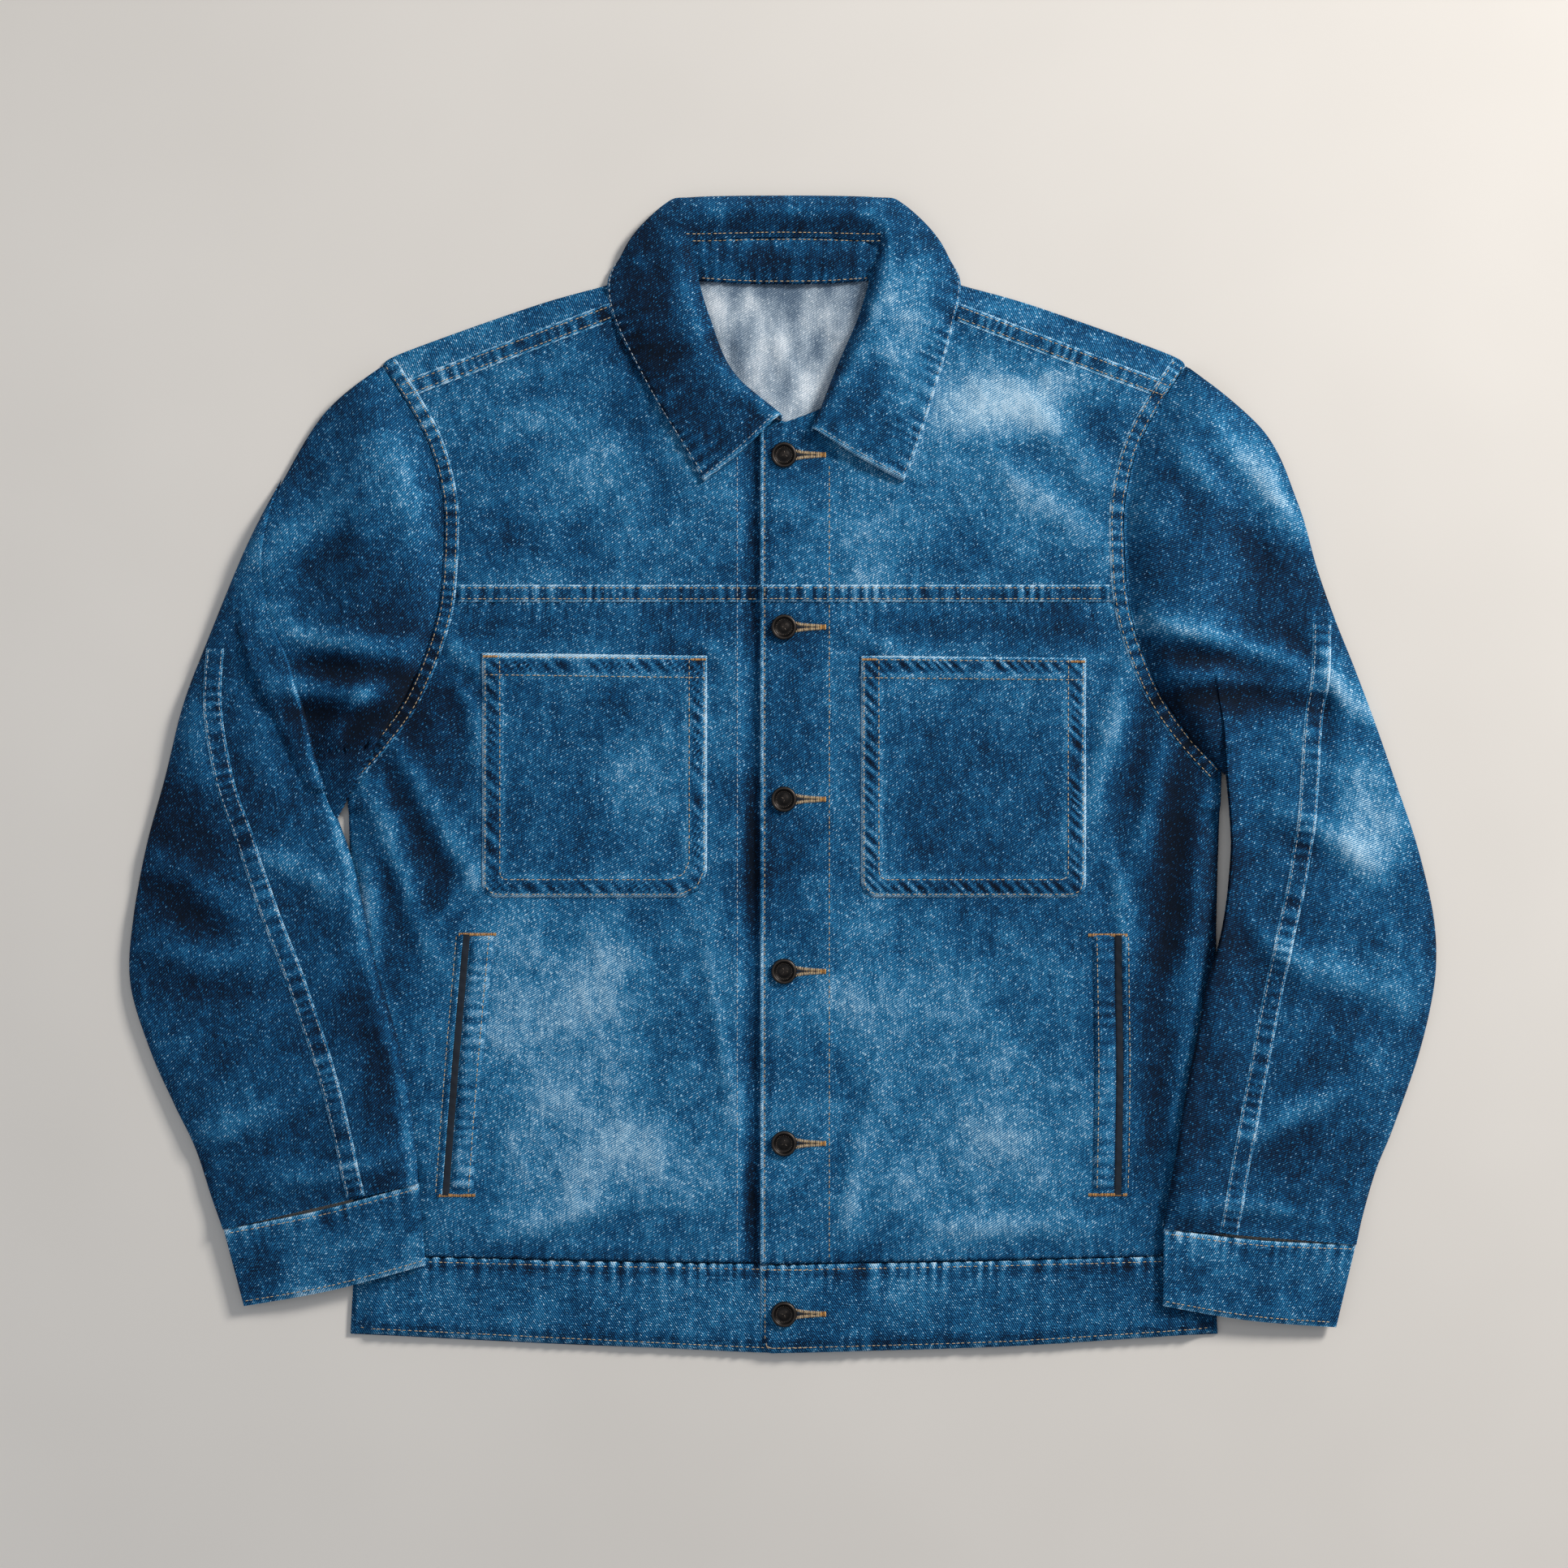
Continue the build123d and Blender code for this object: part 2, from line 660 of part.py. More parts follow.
with BuildPart() as shanks:
    turned([
        (shank_bore, z_left_facing), (shank_foot_radius, z_left_facing),
        (shank_foot_radius, z_left_facing + shank_flange), (shank_radius, z_left_facing + shank_flange),
        (shank_radius, z_shank - shank_flange), (shank_top_radius, z_shank - shank_flange),
        (shank_top_radius, z_shank), (shank_bore, z_shank),
    ])
save(shanks.part, "button_shanks")

with BuildPart() as inserts:
    turned([
        (nail_radius + insert_gap, z_left_facing), (shank_bore - insert_gap, z_left_facing),
        (shank_bore - insert_gap, z_shank), (nail_radius + insert_gap, z_shank),
    ])
save(inserts.part, "button_inserts")

with BuildPart() as nails:
    z_point = z_shank - shank_flange
    turned([
        (0, back_ply), (tack_head_radius, back_ply), (tack_head_radius, z_right_facing),
        (nail_radius, z_right_facing), (nail_radius, z_point - nail_point), (0, z_point),
    ])
save(nails.part, "button_nails")
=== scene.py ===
# %% [markdown]
# # A denim jacket, laid on its back and buttoned
# The CAD model settles where everything is: the outline of each cloth piece, the six tack buttons, and the
# axes that the sleeves swing about. Here each plain soft solid is given its real cloth, with seams, stitches
# and wear. Everything is placed from the CAD frame, so nothing has to be fitted by eye.

# %% Load the frame
import json
from math import cos, exp, hypot, pi, radians, sin

import bmesh
import bpy
from mathutils import Matrix, Vector, geometry, noise
from mathutils.bvhtree import BVHTree
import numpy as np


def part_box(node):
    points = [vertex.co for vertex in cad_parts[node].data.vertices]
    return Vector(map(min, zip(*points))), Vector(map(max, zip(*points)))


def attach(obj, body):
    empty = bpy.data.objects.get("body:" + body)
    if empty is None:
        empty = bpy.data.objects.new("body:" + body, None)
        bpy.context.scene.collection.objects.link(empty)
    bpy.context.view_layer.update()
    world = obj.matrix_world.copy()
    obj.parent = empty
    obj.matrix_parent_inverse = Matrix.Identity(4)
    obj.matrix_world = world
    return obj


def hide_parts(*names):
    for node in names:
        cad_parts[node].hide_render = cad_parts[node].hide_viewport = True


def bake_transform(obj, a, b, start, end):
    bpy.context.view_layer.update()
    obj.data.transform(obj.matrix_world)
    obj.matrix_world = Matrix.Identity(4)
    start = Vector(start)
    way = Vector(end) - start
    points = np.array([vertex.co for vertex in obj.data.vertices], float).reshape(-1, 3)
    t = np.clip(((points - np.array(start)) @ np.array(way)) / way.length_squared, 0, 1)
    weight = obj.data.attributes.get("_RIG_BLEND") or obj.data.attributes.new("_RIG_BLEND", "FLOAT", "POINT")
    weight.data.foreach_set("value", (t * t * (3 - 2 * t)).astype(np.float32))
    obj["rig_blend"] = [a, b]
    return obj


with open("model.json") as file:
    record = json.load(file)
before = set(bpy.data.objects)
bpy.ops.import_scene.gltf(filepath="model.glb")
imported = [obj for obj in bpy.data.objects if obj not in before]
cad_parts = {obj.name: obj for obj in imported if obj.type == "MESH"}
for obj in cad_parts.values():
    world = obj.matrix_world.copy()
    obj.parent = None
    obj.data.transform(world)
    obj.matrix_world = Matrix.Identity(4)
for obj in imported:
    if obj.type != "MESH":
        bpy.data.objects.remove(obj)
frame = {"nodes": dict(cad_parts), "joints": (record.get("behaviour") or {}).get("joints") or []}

MM = 0.001  # the script thinks in millimetres, and Blender in metres
LEFT, RIGHT = 1, -1  # the wearer's left is at +X
SIDES = {LEFT: "left", RIGHT: "right"}
ROOT = "jacket"
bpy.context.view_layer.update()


def corners(node):
    """A CAD node's lowest and highest corners, in millimetres."""
    low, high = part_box(node)
    return Vector(low) / MM, Vector(high) / MM


# %% [markdown]
# ## Landmarks
# A pattern cutter measures everything from a few points: the armpit, the shoulder tip, the neck and the hem.
# The same points come from the boxes of the CAD pieces.

# %% Landmarks from the frame
half_chest = corners("back_panel")[1].x
y_back_seam = corners("back_panel")[1].y
half_shoulder = corners("back_yoke")[1].x
y_neck = corners("back_yoke")[1].y
y_chest_seam = corners("left_front_yoke")[0].y
y_hem = corners("waistband_back")[0].y
y_waist_side = corners("waistband_back")[1].y
y_waist = corners("back_panel")[0].y
y_hem_side = y_hem + 14
y_fold = corners("top_collar")[1].y
half_collar = corners("top_collar")[1].x
half_neck = half_collar - 46
placket_edge = corners("left_front_panel")[0].x
placket_seam = placket_edge + 45.6
z_floor = 0.3
seam_tip = (half_shoulder - 15, y_neck - 76)
buttons = [(corners(f"button_cap_{n}")[0] + corners(f"button_cap_{n}")[1]) / 2 for n in range(1, 7)]
pivots = {s: Vector(j["pos_m"]) / MM for j in frame["joints"] for s, w in SIDES.items()
          if j["name"] == f"{w}_sleeve_swing"}
print(f"chest {2 * half_chest:.0f} mm, length {y_fold - y_hem:.0f} mm, pivots {pivots[LEFT].xy[:]}")


# %% [markdown]
# ## The camera and the light
# The jacket is seen from straight above. The camera comes first, so that every later step can be looked at
# from the right place. A large soft key light at the upper right rakes across the cloth and shows its relief.

# %% Camera, lights and floor
FRAME_WIDTH = 1038.5  # millimetres of floor across the view
CAMERA_HEIGHT = 2300.0
camera_data = bpy.data.cameras.new("camera")
camera_data.sensor_width = 36
camera_data.lens = 36 * CAMERA_HEIGHT / FRAME_WIDTH


def show(name, data):
    """An object for some data, linked to the scene."""
    thing = bpy.data.objects.new(name, data)
    bpy.context.collection.objects.link(thing)
    return thing


camera = show("camera", camera_data)
camera.location = Vector((0, -5.9, CAMERA_HEIGHT + 9)) * MM
bpy.context.scene.camera = camera


def area_light(name, place, size, watts, colour):
    """A square soft light that looks at the middle of the jacket."""
    data = bpy.data.lights.new(name, "AREA")
    data.size, data.energy, data.color = size, watts, colour
    light = show(name, data)
    light.location = place
    light.rotation_euler = (-Vector(place)).to_track_quat("-Z", "Y").to_euler()


area_light("key", (2.3, 1.9, 1.8), 0.85, 152, (1.0, 0.95, 0.89))
area_light("fill", (-1.5, -0.5, 1.6), 1.6, 5, (0.85, 0.93, 1.0))
area_light("top", (0.0, 0.3, 2.6), 1.8, 7, (1.0, 1.0, 1.0))
world = bpy.data.worlds.new("studio")
world.use_nodes = True
world.node_tree.nodes["Background"].inputs["Color"].default_value = (0.9, 0.93, 1.0, 1)
world.node_tree.nodes["Background"].inputs["Strength"].default_value = 0.30
bpy.context.scene.world = world
bpy.context.scene.view_settings.view_transform = "Standard"

floor_mesh = bpy.data.meshes.new("floor")
floor_bm = bmesh.new()
bmesh.ops.create_grid(floor_bm, x_segments=1, y_segments=1, size=6)
floor_bm.to_mesh(floor_mesh)
floor = show("floor", floor_mesh)

# %% [markdown]
# ## Denim, as one shader effect
# Denim is a twill: indigo warp threads cross white weft threads, and each row steps sideways, so fine diagonal
# lines run over it. Washing wears the blue off the high places. The node group draws the twill, the white
# flecks, slubs along the warp and cloudy wear. How pale a place is comes from the mesh, as a vertex attribute:
# wear, which follows seams and creases, together with light and shade painted into the colour at creases,
# puckers, seam edges and shaded places. The pattern reads each piece's own UV map, in metres, so that the grain
# turns with the piece.

# %% The denim group
INDIGO = [(0.0, (0.0004, 0.0040, 0.012)), (0.25, (0.0014, 0.021, 0.066)), (0.5, (0.0030, 0.090, 0.235)),
          (0.75, (0.038, 0.235, 0.43)), (1.0, (0.44, 0.61, 0.75))]
REVERSE = [(0.0, (0.06, 0.10, 0.16)), (0.35, (0.19, 0.26, 0.34)), (0.7, (0.40, 0.48, 0.56)), (1.0, (0.66, 0.72, 0.78))]


class Nodes:
    """A node tree with short ways to add a node and to join two sockets."""

    def __init__(self, tree):
        self.tree = tree

    def add(self, kind, **settings):
        node = self.tree.nodes.new(kind)
        for key, value in settings.items():
            setattr(node, key, value)
        return node

    def link(self, start, end):
        self.tree.links.new(start, end)

    def math(self, operation, a, b=0.0):
        node = self.add("ShaderNodeMath", operation=operation)
        for socket, value in zip(node.inputs, (a, b)):
            if isinstance(value, bpy.types.NodeSocket):
                self.link(value, socket)
            else:
                socket.default_value = value
        return node.outputs[0]

    def noise(self, vector, scale, detail=2.0, rough=0.5):
        node = self.add("ShaderNodeTexNoise")
        node.inputs["Scale"].default_value = scale
        node.inputs["Detail"].default_value = detail
        node.inputs["Roughness"].default_value = rough
        self.link(vector, node.inputs["Vector"])
        return node.outputs["Fac"]

    def stretched(self, vector, scale, turn=0.0):
        node = self.add("ShaderNodeMapping")
        node.inputs["Scale"].default_value = (*scale, 1000)
        node.inputs["Rotation"].default_value = (0, 0, turn)
        self.link(vector, node.inputs["Vector"])
        return node.outputs["Vector"]

    def bump(self, height, strength, distance, shader):
        node = self.add("ShaderNodeBump")
        node.inputs["Strength"].default_value = strength
        node.inputs["Distance"].default_value = distance
        self.link(height, node.inputs["Height"])
        self.link(node.outputs["Normal"], shader.inputs["Normal"])

    def ramp(self, value, stops):
        node = self.add("ShaderNodeValToRGB")
        elements = node.color_ramp.elements
        while len(elements) < len(stops):
            elements.new(0.5)
        for element, (place, colour) in zip(elements, stops):
            element.position = place
            element.color = (*colour, 1) if len(colour) == 3 else colour
        self.link(value, node.inputs["Fac"])
        return node.outputs["Color"]


def new_material(name):
    """A material, its nodes and its shader."""
    material = bpy.data.materials.new(name)
    material.use_nodes = True
    return material, Nodes(material.node_tree), material.node_tree.nodes["Principled BSDF"]


def denim_group(name, stops, fleck_strength):
    """A node group: cloth coordinates and paleness (wear with painted light and shade) in, colour, bump height and
    roughness out.
    """
    tree = bpy.data.node_groups.new(name, "ShaderNodeTree")
    tree.interface.new_socket("Cloth", in_out="INPUT", socket_type="NodeSocketVector")
    tree.interface.new_socket("Fade", in_out="INPUT", socket_type="NodeSocketFloat")
    tree.interface.new_socket("Color", in_out="OUTPUT", socket_type="NodeSocketColor")
    tree.interface.new_socket("Height", in_out="OUTPUT", socket_type="NodeSocketFloat")
    tree.interface.new_socket("Roughness", in_out="OUTPUT", socket_type="NodeSocketFloat")
    n = Nodes(tree)
    start = n.add("NodeGroupInput")
    end = n.add("NodeGroupOutput")
    cloth = start.outputs["Cloth"]

    twill = n.add("ShaderNodeTexWave", wave_type="BANDS", bands_direction="X")
    twill.inputs["Scale"].default_value = 0.25  # one line every 1.25 mm
    twill.inputs["Distortion"].default_value = 3.0
    twill.inputs["Detail"].default_value = 2.0
    twill.inputs["Detail Scale"].default_value = 0.6
    n.link(n.stretched(cloth, (1000, 1000), radians(58)), twill.inputs["Vector"])
    lines = twill.outputs["Fac"]

    leaning = n.stretched(cloth, (1, 1), radians(28))  # the flecks lie along the twill
    flecks = n.noise(n.stretched(leaning, (1000, 400)), 1.2, 1.0, 0.4)
    fleck = n.math("MULTIPLY", n.math("MAXIMUM", n.math("SUBTRACT", flecks, 0.56), 0.0), fleck_strength)
    slubs = n.noise(n.stretched(cloth, (900, 55)), 1.0, 2.0, 0.6)
    clouds = n.noise(n.stretched(cloth, (22, 26)), 1.0, 3.0, 0.55)
    mottle = n.noise(n.stretched(cloth, (160, 120)), 1.0, 3.0, 0.6)

    value = n.math("ADD", start.outputs["Fade"], fleck)
    for part, amount in ((lines, 0.40), (slubs, 0.36), (clouds, 0.40), (mottle, 0.55)):
        value = n.math("ADD", value, n.math("MULTIPLY", n.math("SUBTRACT", part, 0.5), amount))
    n.link(n.ramp(value, stops), end.inputs["Color"])
    height = n.math("ADD", n.math("MULTIPLY", lines, 0.5), n.math("MULTIPLY", flecks, 0.5))
    height = n.math("ADD", height, n.math("MULTIPLY", mottle, 0.8))
    n.link(height, end.inputs["Height"])
    n.link(n.math("ADD", 0.78, n.math("MULTIPLY", slubs, 0.12)), end.inputs["Roughness"])
    return tree


def denim_material(name, group):
    """Denim whose paleness, wear with painted light and shade, comes from the mesh, and whose grain follows the piece's
    own UV map.
    """
    material, n, shader = new_material(name)
    effect = n.add("ShaderNodeGroup", node_tree=group)
    n.link(n.add("ShaderNodeUVMap", uv_map="cloth").outputs["UV"], effect.inputs["Cloth"])
    n.link(n.add("ShaderNodeAttribute", attribute_name="fade_and_shade").outputs["Fac"], effect.inputs["Fade"])
    n.bump(effect.outputs["Height"], 0.55, 0.0009, shader)
    n.link(effect.outputs["Color"], shader.inputs["Base Color"])
    n.link(effect.outputs["Roughness"], shader.inputs["Roughness"])
    shader.inputs["Specular IOR Level"].default_value = 0.12
    shader.inputs["Sheen Weight"].default_value = 0.02
    return material


indigo = denim_material("indigo_denim", denim_group("denim face", INDIGO, 2.9))
reverse = denim_material("denim_reverse", denim_group("denim back", REVERSE, 2.2))
print("materials:", indigo.name, reverse.name)


# %% [markdown]
# ## Thread, cotton and metal
# Thread is a twisted yarn; each stitch gets a fine mottled colour and a slight bump. The buttons are cast and
# plated almost black, and the plating has rubbed off the high edges.

# %% Thread, pocketing, floor and metal
def plain_material(name, dark, pale, scale, roughness, bump_height, metallic=0.0, stretch=(1, 1, 1)):
    """A finish whose colour and height follow a noise in object coordinates, with scale in waves to a metre."""
    material, n, shader = new_material(name)
    place = n.add("ShaderNodeTexCoord").outputs["Object"]
    mapping = n.add("ShaderNodeMapping")
    mapping.inputs["Scale"].default_value = stretch
    n.link(place, mapping.inputs["Vector"])
    grain = n.noise(mapping.outputs["Vector"], scale, 3.0, 0.6)
    n.link(n.ramp(grain, [(0.3, dark), (0.7, pale)]), shader.inputs["Base Color"])
    n.link(n.math("ADD", roughness - 0.1, n.math("MULTIPLY", grain, 0.2)), shader.inputs["Roughness"])
    shader.inputs["Metallic"].default_value = metallic
    if bump_height:
        n.bump(grain, 0.6, bump_height, shader)
    return material


tan_thread = plain_material("tan_thread", (0.34, 0.23, 0.12), (0.62, 0.48, 0.29), 900, 0.7, 0.0001)
pale_thread = plain_material("pale_thread", (0.20, 0.25, 0.30), (0.50, 0.54, 0.55), 900, 0.7, 0.0001)
orange_thread = plain_material("orange_thread", (0.32, 0.14, 0.03), (0.62, 0.34, 0.10), 900, 0.7, 0.0001)
pocketing = plain_material("pocketing", (0.52, 0.49, 0.42), (0.66, 0.63, 0.55), 500, 0.85, 0.0002)

floor.data.materials.append(plain_material("pale_floor", (0.60, 0.58, 0.55), (0.64, 0.62, 0.59), 2.5, 0.6, 0))
# Near-black painted shade, for the openings of the pocket mouths and the buttonhole slits.
painted_shade_gap = plain_material("pocket_mouth", (0.001, 0.004, 0.010), (0.003, 0.010, 0.022), 400, 0.9, 0)


# %% [markdown]
# ## Paths
# A seam, an edge or a row of stitches is a path over the floor, seen from above. Each path is kept as points one
# millimetre apart, so that a place on it is found by its distance from the start.

# %% Paths
def even(points, spacing=1.0):
    """The same polyline with evenly spaced points."""
    spaced, left_over = [points[0].copy()], 0.0
    for a, b in zip(points, points[1:]):
        step = (b - a).length
        while left_over + step >= spacing and step > 0:
            share = (spacing - left_over) / step
            a = a.lerp(b, share)
            spaced.append(a.copy())
            step = (b - a).length
            left_over = 0.0
        left_over += step
    if (spaced[-1] - points[-1]).length > spacing * 0.3:
        spaced.append(points[-1].copy())
    else:
        spaced[-1] = points[-1].copy()
    return spaced


def straight(*points):
    """A path of straight runs."""
    return even([Vector(p).to_3d() for p in points])


def curve(*points):
    """A smooth path through every point."""
    knots = [Vector(p).to_3d() for p in points]
    dense = []
    for i in range(len(knots) - 1):
        before, after = knots[max(i - 1, 0)], knots[min(i + 2, len(knots) - 1)]
        leave = knots[i] + (knots[i + 1] - before) / 6
        arrive = knots[i + 1] - (after - knots[i]) / 6
        dense += geometry.interpolate_bezier(knots[i], leave, arrive, knots[i + 1], 24)[:-1]
    return even(dense + [knots[-1]])


def joined(*paths):
    """Several paths run together, end to start."""
    return even([p for path in paths for p in path])


def on(side, *points):
    """Points given on the wearer's left half, on the side asked for."""
    return [(side * x, y, *rest) for x, y, *rest in points]


def spot(path, share):
    """The point a share of the way along a path."""
    place = min(max(share, 0.0), 1.0) * (len(path) - 1)
    i = min(int(place), len(path) - 2)
    return path[i].lerp(path[i + 1], place - i)


def part(path, start, end):
    """A stretch of a path, between two shares of its length."""
    first, last = round(start * (len(path) - 1)), round(end * (len(path) - 1))
    return path[first:last + 1]


def beside(path, offset):
    """The path that runs a distance to its left, in millimetres."""
    moved = []
    for i, p in enumerate(path):
        along = (path[min(i + 1, len(path) - 1)] - path[max(i - 1, 0)]).normalized()
        moved.append(p + Vector((-along.y, along.x, 0)) * offset)
    return moved


def patch(bottom, top, left, right):
    """Fills four paths that share their ends: a place across and up gives a point."""
    ends = bottom[0], bottom[-1], top[0], top[-1]

    def place(s, t):
        sides = spot(left, t) * (1 - s) + spot(right, t) * s
        rows = spot(bottom, s) * (1 - t) + spot(top, s) * t
        flat = (ends[0] * (1 - s) + ends[1] * s) * (1 - t) + (ends[2] * (1 - s) + ends[3] * s) * t
        return sides + rows - flat

    return place


# %% [markdown]
# ## Relief, wear and painted shade
# Cloth that has been worn and washed keeps its creases. Their height and their paleness belong together, because
# the crest of a crease rubs and fades, while its foot stays dark; the same coupling also paints light onto the
# crests and shade into the feet. So one function gives the height of the creases at a place, and the colour uses
# it too.

# %% Relief, wear and painted shade
CREASE_SCALE = 1.9
CREASES = {
    "body": [  # from x, y to x, y, half width, height
        (-262, 20, -205, -60, 9, 1.8), (-275, -20, -232, -112, 8, 1.7), (-280, -70, -255, -190, 8, 1.5),
        (-222, 95, -196, 62, 7, 1.2), (-214, 62, -204, 10, 6, 1.0), (-75, 92, -38, 74, 6, 0.9),
        (205, 150, 145, 205, 15, 1.5), (216, 188, 160, 238, 13, 1.3), (222, 60, 207, -24, 8, 1.4),
        (256, 22, 232, -55, 9, 1.7), (282, -20, 258, -150, 10, 1.8), (274, -160, 258, -262, 9, 1.3),
        (40, 92, 98, 80, 6, 0.9), (-190, -300, -110, -286, 9, 1.0), (105, -294, 195, -302, 9, 1.0),
        (60, -225, 42, -300, 8, 0.9), (-46, -110, -38, -215, 6, 0.9), (-205, -60, -230, -110, 7, 1.2),
        (-100, 262, -60, 200, 14, 1.1), (-200, 215, -150, 245, 12, 0.8), (215, -60, 232, -120, 7, 1.1),
    ],
    "sleeve": [
        (-328, 62, -266, 46, 9, 2.2), (-322, 96, -250, 76, 10, 2.4), (-302, 26, -264, 58, 8, 1.8),
        (-348, 150, -296, 176, 14, 1.4), (-242, 150, -262, 215, 12, 1.2),
        (-420, -58, -362, -86, 12, 1.7), (-418, -112, -352, -122, 12, 1.3), (-398, -238, -338, -224, 10, 1.3),
        (-345, -58, -300, -76, 9, 1.2), (-330, -268, -262, -250, 8, 1.2), (-378, -20, -395, 60, 12, 1.1),
        (240, 96, 350, 74, 9, 2.6), (258, 62, 342, 60, 8, 2.3), (290, 222, 336, 148, 11, 2.0),
        (318, 214, 352, 146, 9, 1.8), (262, 225, 300, 170, 10, 1.3), (346, 60, 396, 38, 9, 1.6),
        (352, 92, 372, 30, 8, 1.5), (328, -28, 396, -58, 11, 1.4), (300, -236, 362, -216, 10, 1.3),
        (338, -118, 404, -150, 12, 1.1), (312, -92, 338, -130, 8, 1.0), (270, -284, 340, -292, 7, 1.1),
    ],
}
EVERYDAY_FADE = 0.39  # of cloth that no crease, seam or rubbed place has changed
# Most entries are wear, but some are painted light and shade: the shadow beside the wearer's left sleeve at (264, -70),
# the shaded upper arm beside the right sleeve's fold at (-296, 55), the shade in the step beside the placket at x -20,
# and the shaded and the lit collar wings at (-92, 285) and (78, 300).
FADES_AND_SHADES = [  # x, y, half width, half height, how much paler
    (-128, 200, 62, 36, 0.15), (-60, 150, 45, 40, 0.06), (152, 246, 46, 20, 0.52), (130, 195, 62, 34, 0.14),
    (60, 160, 40, 60, 0.10), (-150, -158, 66, 60, 0.28), (-120, -255, 70, 45, 0.24), (118, -172, 74, 62, 0.14),
    (110, -262, 70, 48, 0.26), (-98, -8, 30, 34, 0.14), (120, 0, 45, 50, -0.03), (264, -70, 30, 110, -0.50),
    (-236, -20, 30, 110, -0.26), (7, 60, 16, 60, -0.16), (8, -150, 18, 120, -0.02), (-394, -60, 34, 80, -0.32),
    (-310, 178, 50, 60, -0.05), (300, 215, 40, 34, 0.04), (330, 120, 36, 40, -0.10), (392, -26, 26, 50, 0.42),
    (338, -190, 44, 100, -0.14), (-330, -190, 50, 80, -0.08), (205, 262, 44, 10, 0.20), (-200, 268, 50, 10, 0.14),
    (-40, -345, 190, 20, 0.11), (-92, 285, 24, 60, -0.34), (78, 300, 24, 50, 0.47), (-62, 222, 30, 24, -0.10),
    (-21, -48, 5, 50, -0.55), (-21, -280, 5, 52, -0.55), (-20, 150, 5, 90, -0.25), (-20, -150, 5, 60, -0.25),
    (-296, 55, 30, 46, -0.50), (-252, 45, 16, 30, -0.16), (300, 60, 44, 30, -0.28), (240, 30, 14, 50, -0.14),
    (0, 341, 60, 9, -0.22), (0, 366, 70, 10, -0.12), (-120, 98, 90, 12, -0.14), (120, 98, 90, 12, -0.14),
    (-120, 128, 90, 8, 0.10), (120, 128, 90, 8, 0.10), (-200, 150, 22, 60, -0.12), (-120, 0, 66, 70, 0.03),
    (250, -230, 20, 80, -0.22), (-262, -190, 20, 90, -0.22), (350, -330, 60, 30, 0.22), (410, -120, 20, 90, 0.10),
    (180, -345, 90, 20, -0.07), (110, -110, 50, 50, -0.06),
]


def smooth(low, high, value):
    """0 up to low, 1 from high on, and an even ramp between."""
    share = min(max((value - low) / (high - low), 0.0), 1.0)
    return share * share * (3 - 2 * share)


def crease_height(x, y, group):
    """Height of the long creases at a place."""
    total = 0.0
    for x0, y0, x1, y1, width, height in CREASES[group]:
        dx, dy = x1 - x0, y1 - y0
        share = ((x - x0) * dx + (y - y0) * dy) / (dx * dx + dy * dy)
        if -0.4 < share < 1.4:
            bend = 4.0 * sin(3.0 * share + x0)
            off = ((x - x0) * dy - (y - y0) * dx) / hypot(dx, dy) + bend
            if abs(off) < 3.2 * width:
                ends = smooth(-0.4, 0.3, share) * (1 - smooth(0.7, 1.4, share))
                shape = exp(-(off / width) ** 2) - 0.45 * exp(-((off - 1.6 * width) / width) ** 2)
                total += CREASE_SCALE * height * ends * shape
    return total


def relief(x, y, group):
    """Height of creases and soft unevenness together."""
    broad = noise.noise(Vector((x / 95, y / 95, 3.1))) * 1.3
    middle = noise.noise(Vector((x / 30, y / 38, 7.7))) * 1.15
    ridge = (0.35 - abs(noise.noise(Vector((x / 26 + y / 60, y / 44 - x / 90, 2.2))))) * 1.2
    fine = noise.noise(Vector((x / 9, y / 11, 1.3))) * 0.45
    return crease_height(x, y, group) + broad + middle + ridge + fine


def fade_and_shade_at(x, y, lift=0.0):
    """How pale the cloth is at a place, from wear and from painted light and shade: 0 is raw indigo and 1 is white."""
    total = EVERYDAY_FADE
    for cx, cy, rx, ry, amount in FADES_AND_SHADES:
        total += amount * exp(-((x - cx) / rx) ** 2 - ((y - cy) / ry) ** 2)
    total += 0.08 * noise.noise(Vector((x / 60, y / 50, 0.4)))
    # Higher relief paler and lower relief darker: wear on the crests, and painted shade in the feet of the creases.
    return total + 0.090 * lift


def pucker(along, away, seed, reach=9.0, pitch=8.5):
    """Gathers that a shrunken seam pulls into the cloth beside it, from -1 to 1."""
    if away > 4 * reach:
        return 0.0
    drift = 1.6 * noise.noise(Vector((along / 34, seed, 0.0)))
    size = 0.65 + 0.7 * noise.noise(Vector((along / 19, seed, 5.0)))
    return exp(-away / reach) * sin(2 * pi * (along / pitch + drift)) * size


def body_height(x, y):
    """The top of the front of the body."""
    side = half_chest - abs(x) + 3 * max(0.0, y + 25)
    rise = smooth(-2, 20, side)
    return 2.6 + 5.0 * rise + relief(x, y, "body") * (0.35 + 0.65 * rise) * 0.8


# %% [markdown]
# ## Cutting a cloth panel
# Each panel starts as a flat grid. The grid is moved into its outline with a patch between its four edges, then
# raised: high in the middle, drawn down and gathered at the seams. The paleness of every vertex is worked out at
# the same time, with wear and painted light and shade on the gathers and painted shade where it is drawn down at
# the seams, and the UV map keeps the distances on the cloth, turned to the piece's grain.

# %% Panels
DENIM = 1.1  # thickness of washed denim, in millimetres
LOWEST = 2.0  # of a panel's upper face, so that its thickness stays above the floor
surfaces = []  # the finished pieces, for whatever is laid or sewn on them


